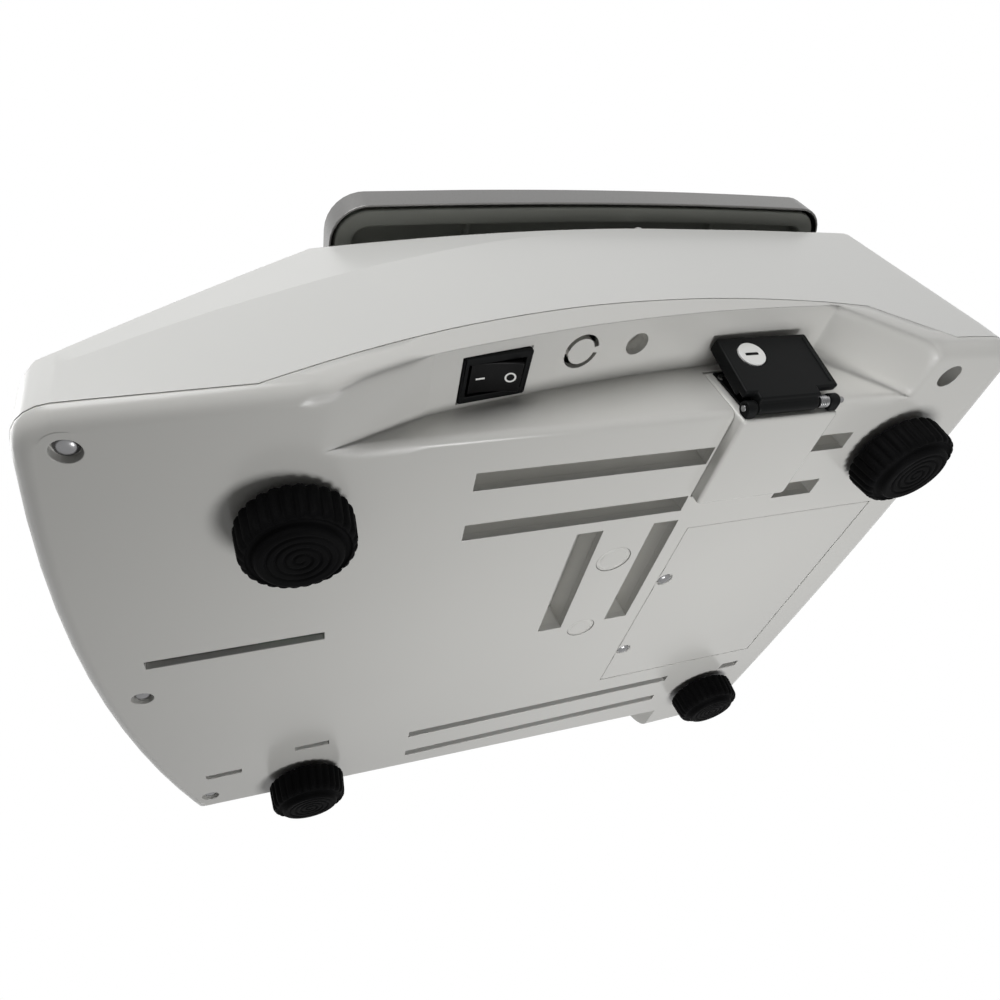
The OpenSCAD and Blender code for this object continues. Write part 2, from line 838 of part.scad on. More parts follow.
module switch_frame() {
    color("black") place() on_ceiling() {
        difference() {
            union() {
                linear_extrude(2) round_rect(switch_w, switch_l, 1);
                translate([0, 0, -13]) linear_extrude(13 + e)
                    square([switch_w - 2.8, switch_l - 2], center = true);
            }
            translate([0, 0, -10]) linear_extrude(20)
                square([switch_w - 2 * bezel_w, switch_l - 4], center = true);
            rotate([0, 90, 0]) cylinder(r = pivot_r + run_fit, h = switch_w - 3.4, center = true);
        }
    }
}

// Half a rocker's side outline, its face a shallow V
module rocker_2d() {
    l = switch_l / 2 - 3;
    polygon([[-l, -4], [0, -6], [l, -4], [l - 0.1, 2.9], [0, 2.2], [-l + 0.1, 2.9]]);
}

module switch_rocker() {
    half = switch_w / 2 - bezel_w - 0.3;
    color("black") place() on_ceiling() rotate([rocker_deg, 0, 0]) {
        along_x(-half, half) rocker_2d();
        rotate([0, 90, 0]) cylinder(r = pivot_r, h = switch_w - 3.8, center = true);
    }
}

module switch_tabs() {
    color("goldenrod") place() on_ceiling() for (y = [-5.5, 0, 5.5]) translate([0, y, -17.5])
        cube([4.8, 0.8, 9], center = true);
}

// ---- feet ----

module at_foot(i) {
    place()
        translate([foot_corner[i][0] * foot_span / 2, foot_mid + foot_corner[i][1] * foot_reach / 2, -foot_gap]) children();
}

module knob(i) {
    r = foot_d / 2;
    disc_r = r * 0.72;
    color([0.09, 0.09, 0.1]) at_foot(i) difference() {
        union() {
            difference() {
                rotate_extrude() polygon([
                    [0, 0], [r - 1, 0], [r, -1], [r - 0.5, -foot_h + 2.9], [r - 2.6, -foot_h], [0, -foot_h]
                ]);
                for (k = [0:flutes - 1]) rotate([0, 0, 360 * k / flutes])
                    translate([r + 0.35, 0, -foot_h - 1])
                    cylinder(r = 1, h = foot_h + 2, $fn = 24);
                translate([0, 0, -foot_h]) rotate_extrude() translate([disc_r + 0.9, 0])
                    circle(r = 0.9, $fn = 24);
            }
            translate([0, 0, -foot_h]) rotate_extrude() polygon([
                [0, e], [disc_r, e], [disc_r, -sole_h * 0.5], [disc_r - 1.2, -sole_h], [0, -sole_h]
            ]);
            translate([0, 0, -e]) cylinder(r = 6.5, h = 1);
        }
        translate([0, 0, -stud_sink]) cylinder(d = stud_d, h = 20);
        for (k = [0.2, 0.45, 0.7]) translate([0, 0, -foot_h - sole_h]) rotate_extrude()
            translate([disc_r * k, 0]) circle(r = 0.45, $fn = 20);
    }
}

// The stud is moulded into the knob
module stud(i) {
    color("silver") at_foot(i) translate([0, 0, -stud_sink])
        cylinder(d = stud_d, h = stud_sink + stud_l - 2);
}

module foot_front_right() {
    knob(0);
}

module foot_front_left() {
    knob(1);
}

module foot_rear_right() {
    knob(2);
}

module foot_rear_left() {
    knob(3);
}

module stud_front_right() {
    stud(0);
}

module stud_front_left() {
    stud(1);
}

module stud_rear_right() {
    stud(2);
}

module stud_rear_left() {
    stud(3);
}

module foot_nuts() {
    color("silver") place() foot_places() translate([0, 0, nut_z]) difference() {
        cylinder(d = nut_d - 0.2, h = nut_h, $fn = 6);
        translate([0, 0, -1]) cylinder(d = stud_d + 2 * run_fit, h = 10);
    }
}

// ---- weighing works ----

// Places of the two screws of the cell's fixed end, side 1, or its free end, side -1
module clamp_holes(side) {
    for (x = [-clamp_step, clamp_step]) translate([side * clamp_x + x, 0, 0]) children();
}

module load_cell() {
    hole = cell_h * 0.3;
    color("lightsteelblue") place() translate([0, cell_y, cell_z]) difference() {
        translate([-cell_l / 2, -cell_w / 2, 0]) cube([cell_l, cell_w, cell_h]);
        for (x = [-14, 14]) translate([x, 0, cell_h / 2]) rotate([90, 0, 0])
            cylinder(r = hole, h = cell_w + 2, center = true);
        translate([-14, -cell_w / 2 - 1, cell_h / 2 - 3]) cube([28, cell_w + 2, 6]);
        for (s = [-1, 1]) clamp_holes(s) translate([0, 0, -1]) cylinder(r = bolt_r + 0.7, h = cell_h + 2);
    }
}

module cell_block() {
    w = 2 * cell_vent_near - 0.9;
    color("silver") place() translate([0, cell_y, wall]) difference() {
        translate([clamp_x - 16, -w / 2, 0]) cube([32, w, cell_lift]);
        clamp_holes(1) translate([0, 0, cell_lift - 10]) cylinder(r = bolt_r, h = 20);
        translate([plug_points[0][0], 0, -1]) cylinder(r = bolt_r, h = 5);
    }
}

// Screws that clamp the fixed end to its block and the free end to the spider
module cell_bolts() {
    bite = 9;
    color("silver") place() translate([0, cell_y, cell_z - bite]) clamp_holes(1) {
        cylinder(r = bolt_r, h = cell_h + bite);
        translate([0, 0, cell_h + bite]) cylinder(r = bolt_head_r, h = bolt_head_h);
    }
}

module overload_stop() {
    gap = pan_travel + 0.1;
    color("silver") place() translate([plug_points[1][0], cell_y, wall]) {
        cylinder(r = 6, h = 3);
        cylinder(r = 3, h = cell_lift - gap);
    }
}

module spider_arm(x, y) {
    w = post_d;
    a = atan2(y, x);
    l = norm([x, y]);
    rotate([0, 0, a]) translate([0, -w / 2, 0]) cube([l, w, spider_t]);
}

module pan_spider() {
    dy = pan_y - cell_y;
    color("silver") place() translate([0, cell_y, spider_z]) {
        difference() {
            union() {
                for (x = [-1, 1]) for (y = [-1, 1]) {
                    spider_arm(x * post_span / 2, dy + y * post_reach / 2);
                    translate([x * post_span / 2, dy + y * post_reach / 2, 0]) {
                        translate([0, 0, -1]) cylinder(d = post_d + 4, h = spider_t + 2);
                        cylinder(d = post_d, h = post_top - spider_z);
                    }
                }
                translate([free_end, -cell_w / 2, 0]) cube([90, cell_w, spider_t]);
                // foot that reaches down to the free end of the cell
                translate([free_end, -cell_w / 2, cell_top - spider_z])
                    cube([32, cell_w, spider_z - cell_top + 1]);
            }
            clamp_holes(-1) translate([0, 0, cell_top - spider_z - 1]) cylinder(r = bolt_r + 0.7, h = 40);
        }
        // heads of the free end's screws
        clamp_holes(-1) translate([0, 0, spider_t - 1]) cylinder(r = bolt_head_r, h = bolt_head_h + 1);
    }
}

module pan_pads() {
    color("dimgray") place() for (x = [-1, 1]) for (y = [-1, 1])
        translate([x * post_span / 2, pan_y + y * post_reach / 2, post_top])
            cylinder(d = post_d + 4, h = pad_h);
}

// ---- pan ----

// Outline of the pan, drawn in by g
module pan_2d(g) {
    w = pan_w / 2;
    l = pan_len / 2;
    r = pan_corner;
    offset(delta = -g) offset(r = r) offset(delta = -r) polygon(concat(
        [for (t = steps(-1, 1, 16)) [t * w, -l + pan_bow * t * t]],
        [for (t = steps(-1, 1, 16)) [w - pan_bow * t * t, t * l]],
        [for (t = steps(1, -1, 16)) [t * w, l - pan_bow * t * t]],
        [for (t = steps(1, -1, 16)) [-w + pan_bow * t * t, t * l]]
    ));
}

module pan_plate() {
    color("silver") place() translate([0, pan_y, pan_z]) difference() {
        linear_extrude(pan_rim) pan_2d(0, $fn = 32);
        translate([0, 0, -sheet]) linear_extrude(pan_rim) pan_2d(sheet, $fn = 32);
    }
}

module pan_tray() {
    gap = sheet + 1.1;
    z0 = 0.6;
    color("gray") place() translate([0, pan_y, pan_z]) {
        difference() {
            translate([0, 0, z0]) linear_extrude(tray_top - pan_z - z0) pan_2d(gap, $fn = 32);
            translate([0, 0, -1]) linear_extrude(tray_top - pan_z - 1) pan_2d(gap + lip_w, $fn = 32);
        }
        for (x = [-1, 1]) for (y = [-1, 1])
            translate([x * post_span / 2, y * post_reach / 2, tray_top - 2 - 4 - pan_z])
            difference() {
                translate([0, 0, -2]) cylinder(d = post_d + 10, h = 6 + e);
                translate([0, 0, -3]) cylinder(d = post_d + 4.8, h = 3);
            }
        for (x = [-60, 0, 60]) translate([x - 1, -pan_len / 2 + gap + 1, tray_top - 5 - pan_z])
            cube([2, pan_len - 2 * gap - 2, 4]);
        for (y = [-48, 48]) translate([-pan_w / 2 + gap + 3, y - 1, tray_top - 5 - pan_z])
            cube([pan_w - 2 * gap - 6, 2, 4]);
    }
}

// ---- inner parts ----

module battery() {
    color("dimgray") place() translate([-battery_w / 2, battery_y, door_t]) {
        difference() {
            cube([battery_w, battery_l, battery_h]);
            translate([4, 4, battery_h - 1.5]) cube([battery_w - 8, battery_l - 8, 2]);
        }
    }
}

module battery_terminals() {
    color("gold") place() for (x = [-terminal_x, terminal_x])
        translate([x - 3, battery_y + 7.5, door_t + battery_h - 1.5]) cube([6, 0.8, 5]);
}

module transformer() {
    core_h = 38;
    leg = 6;
    color("dimgray") place() translate([core_at[0], core_at[1], core_z]) {
        difference() {
            union() {
                translate([4, leg, 0]) cube([core_w - 8, core_l - 2 * leg, core_h]);
                cube([core_w, core_l, 2]);
            }
            for (x = [4, core_w - 4]) for (y = [3, core_l - 3]) translate([x, y, -1])
                cylinder(r = 1.7, h = 6);
            for (x = [4 + leg, core_w - 12 - leg]) translate([x, leg - 1, 8])
                cube([8, core_l - 2 * leg + 2, core_h - 16]);
        }
    }
    color("goldenrod") place()
        translate([core_at[0] + 4 + leg + seat_gap, core_at[1] + 2, core_z + 8 + seat_gap])
        cube([core_w - 20 - 2 * seat_gap, core_l - 4, core_h - 16 - 2 * seat_gap]);
}

module main_board() {
    color("darkgreen") place() difference() {
        translate([board_at[0], board_at[1], board_z]) cube([board_w, board_l, card_t]);
        board_holes() translate([0, 0, board_z - 1]) cylinder(r = 1.7, h = card_t + 2);
    }
    color([0.15, 0.15, 0.15]) place() translate([board_at[0], board_at[1], board_z + card_t]) {
        translate([40, 25, 0]) cube([22, 22, 2]);
        translate([75, 40, 0]) cube([14, 9, 2]);
        translate([15, 45, 0]) cylinder(r = 5, h = 14);
        translate([28, 50, 0]) cylinder(r = 4, h = 10);
        translate([96, 14, 0]) cylinder(r = 6, h = 8);
        translate([84, 54, 0]) cube([20, 8, 8]);
        translate([14, 8, 0]) cube([16, 8, 8]);
    }
}

module board_screws() {
    color("silver") place() board_holes() translate([0, 0, board_z + card_t]) cylinder(r = 2.8, h = 1.8);
}

module display_window() {
    color([0.2, 0.25, 0.22]) place() on_panel() translate([0, window_v, -glass_t]) linear_extrude(glass_t)
        round_rect(window_w, window_h, 3);
}

module keypad() {
    key_w = (keypad_w - 14 - key_gap * 7) / 8;
    key_h = (keypad_h - 6 - key_gap * 2) / 3;
    color([0.25, 0.3, 0.36]) place() on_panel() translate([0, keypad_v, -film_t]) {
        linear_extrude(film_t) round_rect(keypad_w, keypad_h, 4);
        for (i = [0:7]) for (j = [0:2])
            translate([(i - 3.5) * (key_w + key_gap), (j - 1) * (key_h + key_gap), film_t / 2])
            linear_extrude(film_t / 2 + 0.5) offset(r = 2, $fn = 16)
                square([key_w - 4, key_h - 4], center = true);
    }
}

module lcd_module() {
    color([0.7, 0.75, 0.65]) place() on_panel() translate([0, window_v, -glass_t - 1.2 - lcd_t])
        linear_extrude(lcd_t)
        square([window_w - 14, window_h - 7], center = true);
}

module display_board() {
    color("darkgreen") place() on_panel() translate([0, window_v - 2, -glass_t - 1.2 - lcd_t - card_t])
        linear_extrude(card_t) square([window_w, window_h], center = true);
}

module customer_window() {
    color([0.2, 0.25, 0.22]) place() on_rear() translate([0, 0, -glass_t]) linear_extrude(glass_t)
        round_rect(rear_window_w, rear_window_h, 3);
}

module customer_display() {
    color("darkgreen") place() on_rear() {
        translate([0, 0, -glass_t - 1.2 - lcd_t]) linear_extrude(lcd_t)
            square([rear_window_w - 14, rear_window_h - 7], center = true);
        translate([0, 0, -glass_t - 1.2 - lcd_t - card_t]) linear_extrude(card_t)
            square([rear_window_w - 4, rear_window_h - 2], center = true);
    }
}

module bubble_level() {
    color([0.6, 0.8, 0.3]) place() on_panel() translate([level_u, window_v, -4]) {
        cylinder(r = level_r, h = 4.6);
        translate([0, 0, -0.6]) cylinder(r = level_r - 2, h = 1);
    }
}

// ---- wiring ----

// Rings of a tube of radius r along points p
function ring(p, i, r, n) =
    let (a = p[max(i - 1, 0)], b = p[min(i + 1, len(p) - 1)], t = (b - a) / norm(b - a),
        s = abs(t[2]) < 0.9 ? [0, 0, 1] : [1, 0, 0], u = cross(t, s) / norm(cross(t, s)), v = cross(t, u))
    [for (k = [0:n - 1]) p[i] + r * (cos(360 * k / n) * u + sin(360 * k / n) * v)];

module lead(p, r) {
    n = 8;
    polyhedron([for (i = [0:len(p) - 1]) for (q = ring(p, i, r, n)) q], loft_faces(len(p), n));
}

module cell_cable() {
    color("gray") place() lead([
        [20, cell_y - cell_w / 2 - 1.7, cell_z + 8], [20, cell_y - cell_w / 2 - 6, cell_z + 6],
        [12, 0, 16], [4, -14, 12], [-6, -26, 11], [-10, -40, 12], [-12, -50, 11]
    ], 1.6);
}

module mains_leads() {
    inlet_back = recess_x - inlet_l - 6;
    color("brown") place() lead([
        [inlet_back, box_y - 7, 12], [inlet_back - 4, box_y - 3.2, 16], [68, 57, 26], [68, 20, 32],
        [88, -10, 34], [106, -24, 36], [switch_x - 2, switch_y, 37.5]
    ], 1.4);
    color("blue") place() lead([
        [inlet_back, box_y + 7, 12], [inlet_back - 4, box_y + 3.2, 16], [68, 64, 30], [62, 48, 44],
        [10, 48, 46], [-40, 46, 45], [-62, 45, 45], [-70, 36, 44.2]
    ], 1.4);
}

module battery_leads() {
    top = door_t + battery_h + 2.2;
    color("red") place() lead([
        [-terminal_x, battery_y + 6, top], [-50, 60, top], [-66, 50, 47], [-74, 40, 47], [-74, 0, 46],
        [-70, -14, 38], [-62, -28, 18], [-43, -46, 16]
    ], 1.2);
    color("black") place() lead([
        [terminal_x, battery_y + 6, top], [20, 52, top], [-48, 50, 49], [-64, 44, 49], [-68, 36, 48.5],
        [-68, 0, 47.5],
        [-66, -12, 38], [-60, -22, 20], [-45, -40, 17]
    ], 1.2);
}

base_housing();
top_housing();
housing_screws();
battery_door();
door_screws();
hole_plugs();
socket_box();
mains_inlet();
inlet_screws();
flap_frame();
socket_flap();
flap_latch();
flap_pin();
flap_spring();
switch_frame();
switch_rocker();
switch_tabs();
foot_front_right();
foot_front_left();
foot_rear_right();
foot_rear_left();
stud_front_right();
stud_front_left();
stud_rear_right();
stud_rear_left();
foot_nuts();
load_cell();
cell_block();
cell_bolts();
overload_stop();
pan_spider();
pan_pads();
pan_tray();
pan_plate();
battery();
battery_terminals();
transformer();
main_board();
board_screws();
display_board();
lcd_module();
display_window();
keypad();
customer_window();
customer_display();
bubble_level();
cell_cable();
mains_leads();
battery_leads();
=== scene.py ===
"""Looks of the electronic counting scale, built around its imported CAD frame."""
import json
import math

import bmesh
import bpy
from mathutils import Euler, Matrix, Vector

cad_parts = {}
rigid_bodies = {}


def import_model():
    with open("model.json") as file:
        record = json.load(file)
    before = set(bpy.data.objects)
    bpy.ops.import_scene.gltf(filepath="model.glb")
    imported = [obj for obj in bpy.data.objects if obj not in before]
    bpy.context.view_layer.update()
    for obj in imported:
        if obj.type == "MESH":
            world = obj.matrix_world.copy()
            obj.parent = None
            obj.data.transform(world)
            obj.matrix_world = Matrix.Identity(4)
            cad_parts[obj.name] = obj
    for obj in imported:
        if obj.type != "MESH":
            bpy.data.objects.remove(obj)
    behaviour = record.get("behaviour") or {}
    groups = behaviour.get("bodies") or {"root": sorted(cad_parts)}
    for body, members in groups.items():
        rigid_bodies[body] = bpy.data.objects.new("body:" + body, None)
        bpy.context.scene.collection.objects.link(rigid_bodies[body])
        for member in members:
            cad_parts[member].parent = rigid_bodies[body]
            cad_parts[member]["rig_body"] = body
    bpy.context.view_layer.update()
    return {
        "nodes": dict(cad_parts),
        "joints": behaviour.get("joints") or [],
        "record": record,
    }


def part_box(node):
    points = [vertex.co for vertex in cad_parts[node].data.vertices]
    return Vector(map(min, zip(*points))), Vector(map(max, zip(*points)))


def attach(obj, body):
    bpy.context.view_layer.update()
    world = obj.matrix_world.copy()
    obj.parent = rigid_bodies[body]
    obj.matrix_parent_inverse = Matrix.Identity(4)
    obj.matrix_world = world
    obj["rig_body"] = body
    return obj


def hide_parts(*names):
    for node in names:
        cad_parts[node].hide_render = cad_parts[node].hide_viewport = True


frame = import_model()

NODES = frame["nodes"]
MM = 0.001
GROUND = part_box("base_housing")[0].z  # height of the base's underside above the soles


# ---- camera, light and stage ----

CAMERA_AT = (0.2281, -0.0978, -0.1091)  # metres, below the scale and to its right
CAMERA_TURN = (132.01, 16.05, 81.94)  # degrees
CAMERA_LENS = 24.8
CAMERA_SHIFT = (0.0451, -0.0133)
FLOOR_Z = -0.75
FLOOR_HALF = 4.0
FLOOR_COLOR = (0.3, 0.3, 0.295, 1)
FLOOR_WHITE = 0.8  # how much of the floor's look is plain white
WORLD_LIGHT = 0.05
# each lamp's place and the point it shines at, in metres, then its size in metres and its power in watts
LAMPS = {
    "key": ((0.946, -0.396, 0.35), (0.0, 0.0, 0.05), 0.7, 8.1),
    "under": ((0.059, 0.055, -0.325), (-0.1, 0.16, 0.0), 0.16, 0.9),
    "fill_rear": ((-0.75, 0.85, 0.75), (0.0, 0.0, 0.05), 0.8, 5.5),
    "fill_front": ((-0.3, -1.1, 0.75), (0.0, 0.0, 0.05), 0.8, 4.5),
}


def make_camera():
    data = bpy.data.cameras.new("camera")
    data.lens = CAMERA_LENS
    data.sensor_width = 36
    data.shift_x, data.shift_y = CAMERA_SHIFT
    data.clip_start = 0.01
    cam = bpy.data.objects.new("camera", data)
    cam.location = CAMERA_AT
    cam.rotation_euler = Euler([math.radians(a) for a in CAMERA_TURN])
    bpy.context.scene.collection.objects.link(cam)
    bpy.context.scene.camera = cam


def area_lamp(name, at, aim, size, power):
    data = bpy.data.lights.new(name, "AREA")
    data.shape = "DISK"
    data.size = size
    data.energy = power
    lamp = bpy.data.objects.new(name, data)
    lamp.location = at
    lamp.rotation_euler = (Vector(aim) - Vector(at)).to_track_quat("-Z", "Y").to_euler()
    bpy.context.scene.collection.objects.link(lamp)


def seen_directly(tree):
    """1 for rays from the camera, and for those that a mirror or a glass sends on."""
    path = tree.nodes.new("ShaderNodeLightPath")
    seen = path.outputs["Is Camera Ray"]
    for ray in ("Is Glossy Ray", "Is Transmission Ray"):
        both = tree.nodes.new("ShaderNodeMath")
        both.operation = "MAXIMUM"
        tree.links.new(seen, both.inputs[0])
        tree.links.new(path.outputs[ray], both.inputs[1])
        seen = both.outputs[0]
    return seen


def make_world():
    world = bpy.data.worlds.new("studio")
    world.use_nodes = True
    tree = world.node_tree
    light = tree.nodes["Background"]
    light.inputs["Color"].default_value = (1, 1, 1, 1)
    light.inputs["Strength"].default_value = WORLD_LIGHT
    white = tree.nodes.new("ShaderNodeBackground")
    white.inputs["Color"].default_value = (1, 1, 1, 1)
    white.inputs["Strength"].default_value = 1.0
    mix = tree.nodes.new("ShaderNodeMixShader")
    tree.links.new(seen_directly(tree), mix.inputs["Fac"])
    tree.links.new(light.outputs[0], mix.inputs[1])
    tree.links.new(white.outputs[0], mix.inputs[2])
    tree.links.new(mix.outputs[0], tree.nodes["World Output"].inputs["Surface"])
    bpy.context.scene.world = world


def make_floor():
    signs = ((-1, -1), (1, -1), (1, 1), (-1, 1))
    mesh = bpy.data.meshes.new("floor")
    mesh.from_pydata([(x * FLOOR_HALF, y * FLOOR_HALF, FLOOR_Z) for x, y in signs], [], [(0, 1, 2, 3)])
    floor = bpy.data.objects.new("floor", mesh)
    bpy.context.scene.collection.objects.link(floor)
    mat = bpy.data.materials.new("pale_floor")
    mat.use_nodes = True
    tree = mat.node_tree
    surface = tree.nodes["Principled BSDF"]
    surface.inputs["Base Color"].default_value = FLOOR_COLOR
    surface.inputs["Roughness"].default_value = 0.9
    white = tree.nodes.new("ShaderNodeEmission")
    share = tree.nodes.new("ShaderNodeMath")
    share.operation = "MULTIPLY"
    share.inputs[1].default_value = FLOOR_WHITE
    tree.links.new(seen_directly(tree), share.inputs[0])
    mix = tree.nodes.new("ShaderNodeMixShader")
    tree.links.new(share.outputs[0], mix.inputs["Fac"])
    tree.links.new(surface.outputs[0], mix.inputs[1])
    tree.links.new(white.outputs[0], mix.inputs[2])
    tree.links.new(mix.outputs[0], tree.nodes["Material Output"].inputs["Surface"])
    mesh.materials.append(mat)


# ---- the recess in the right-hand side ----

RECESS_EDGE = 2.5 * MM  # round where the recess's wall meets the underside
RECESS_WALL = 109 * MM
RECESS_ENDS = (-78.7 * MM, 111.3 * MM)
# the wide soft edges at the recess's ends: distances along the scale from its middle, then across the scale
SOFT_BEGINS = (66 * MM, 74 * MM)
SOFT_ENDS = (101 * MM, 97 * MM)
SOFT_SIDE = (98 * MM, 105 * MM)


# ---- materials ----

class Shader:
    """A Principled material with short helpers for its procedural nodes."""

    def __init__(self, name, color, rough, metal=0.0, specular=0.5):
        self.mat = bpy.data.materials.new(name)
        self.mat.use_nodes = True
        self.tree = self.mat.node_tree
        self.bsdf = self.tree.nodes["Principled BSDF"]
        self.set("Base Color", (*color, 1))
        self.set("Roughness", rough)
        self.set("Metallic", metal)
        self.set("Specular IOR Level", specular)
        self.color = color
        self.rough = rough
        self.bump_in = None

    def set(self, socket, value):
        self.bsdf.inputs[socket].default_value = value

    def node(self, kind, **values):
        made = self.tree.nodes.new(kind)
        for key, value in values.items():
            if key in made.inputs:
                made.inputs[key].default_value = value
            else:
                setattr(made, key, value)
        return made

    def link(self, a, b):
        self.tree.links.new(a, b)

    def noise(self, scale, detail=3, stretch=(1, 1, 1)):
        coord = self.node("ShaderNodeTexCoord")
        mapping = self.node("ShaderNodeMapping")
        mapping.inputs["Scale"].default_value = stretch
        self.link(coord.outputs["Object"], mapping.inputs["Vector"])
        tex = self.node("ShaderNodeTexNoise", Scale=scale, Detail=detail)
        self.link(mapping.outputs["Vector"], tex.inputs["Vector"])
        return tex.outputs["Fac"]

    def remap(self, source, low, high, to_low, to_high):
        m = self.node("ShaderNodeMapRange", clamp=False)
        m.inputs["From Min"].default_value = low
        m.inputs["From Max"].default_value = high
        m.inputs["To Min"].default_value = to_low
        m.inputs["To Max"].default_value = to_high
        self.link(source, m.inputs["Value"])
        return m.outputs["Result"]

    def vary_color(self, source, dark, light):
        """Colour runs from dark to light times the base colour, as source runs from 0.3 to 0.7."""
        mix = self.node("ShaderNodeMix", data_type="RGBA")
        mix.inputs[6].default_value = (*[c * dark for c in self.color], 1)
        mix.inputs[7].default_value = (*[min(1, c * light) for c in self.color], 1)
        self.link(self.remap(source, 0.3, 0.7, 0, 1), mix.inputs[0])
        self.link(mix.outputs[2], self.bsdf.inputs["Base Color"])

    def vary_rough(self, source, spread):
        rough = self.remap(source, 0.3, 0.7, self.rough - spread, self.rough + spread)
        self.link(rough, self.bsdf.inputs["Roughness"])

    def soft_edges(self, radius, wide=0.0):
        """Rounds sharp edges in the shading alone, by the wide radius at the ends of the recess."""
        bevel = self.node("ShaderNodeBevel", samples=8, Radius=radius)
        self.bump_in = bevel.outputs["Normal"]
        if wide:
            axes = self.node("ShaderNodeSeparateXYZ")
            self.link(self.node("ShaderNodeTexCoord").outputs["Object"], axes.inputs[0])
            along = self.math("ABSOLUTE", self.math("SUBTRACT", axes.outputs["Y"], sum(RECESS_ENDS) / 2))
            ends = self.math("MULTIPLY", self.ramp(along, *SOFT_BEGINS), self.ramp(along, *SOFT_ENDS))
            side = self.ramp(axes.outputs["X"], *SOFT_SIDE)
            extra = self.math("MULTIPLY", self.math("MULTIPLY", ends, side), wide - radius)
            self.link(self.math("ADD", extra, radius), bevel.inputs["Radius"])

    def math(self, operation, a, b=None):
        made = self.node("ShaderNodeMath", operation=operation)
        for value, socket in ((a, made.inputs[0]), (b, made.inputs[1])):
            if isinstance(value, (int, float)):
                socket.default_value = value
            elif value is not None:
                self.link(value, socket)
        return made.outputs[0]

    def ramp(self, source, low, high):
        """0 at low and 1 at high, whichever of the two is the greater."""
        m = self.node("ShaderNodeMapRange", interpolation_type="SMOOTHSTEP")
        m.inputs["From Min"].default_value = min(low, high)
        m.inputs["From Max"].default_value = max(low, high)
        m.inputs["To Min"].default_value = 0.0 if low < high else 1.0
        m.inputs["To Max"].default_value = 1.0 if low < high else 0.0
        self.link(source, m.inputs["Value"])
        return m.outputs["Result"]

    def bump(self, source, height, strength=1.0):
        """Adds a bump of the given height in metres; several bumps chain."""
        b = self.node("ShaderNodeBump", Strength=strength, Distance=height)
        self.link(source, b.inputs["Height"])
        if self.bump_in is not None:
            self.link(self.bump_in, b.inputs["Normal"])
        self.link(b.outputs["Normal"], self.bsdf.inputs["Normal"])
        self.bump_in = b.outputs["Normal"]


GRAIN = 2500  # per metre
GRAIN_H = 0.01 * MM


def moulded_plastic(name, color, rough, specular=0.5, mottle=0.02, edges=0.0, wide=0.0, patchy=0.04):
    """Edges and wide are the radii of the soft edges; patchy is how far the gloss varies."""
    s = Shader(name, color, rough, specular=specular)
    if edges:
        s.soft_edges(edges, wide)
    s.vary_color(s.noise(9, 2), 1 - mottle, 1 + mottle)
    if patchy:
        s.vary_rough(s.noise(30, 0), patchy)
    s.bump(s.noise(GRAIN, 0), GRAIN_H, 0.2)
    return s.mat


def plated_steel(name, color=(0.27, 0.27, 0.275), rough=0.28):
    s = Shader(name, color, rough, metal=1.0)
    s.vary_rough(s.noise(300, 4), 0.06)
    s.vary_color(s.noise(120, 3), 0.85, 1.1)
    s.bump(s.noise(900, 3), 0.01 * MM)
    return s.mat


def brushed_steel():
    s = Shader("brushed_steel", (0.195, 0.193, 0.189), 0.36, metal=1.0)
    streaks = s.noise(60, 6, stretch=(1, 60, 60))
    s.vary_rough(streaks, 0.1)
    s.vary_color(streaks, 0.85, 1.1)
    s.bump(streaks, 0.02 * MM)
    return s.mat


def rubber(name="foot_rubber", color=(0.003, 0.003, 0.0032), rough=0.65, specular=0.03):
    s = Shader(name, color, rough, specular=specular)
    s.vary_color(s.noise(60, 4), 0.7, 1.5)
    s.vary_rough(s.noise(80, 3), 0.08)
    s.bump(s.noise(1800, 3), 0.03 * MM)
    return s.mat


def circuit_board():
    s = Shader("circuit_board", (0.02, 0.16, 0.07), 0.35)
    s.vary_color(s.noise(400, 2), 0.6, 1.4)
    s.bump(s.noise(600, 2), 0.03 * MM)
    return s.mat


MATERIALS = {}


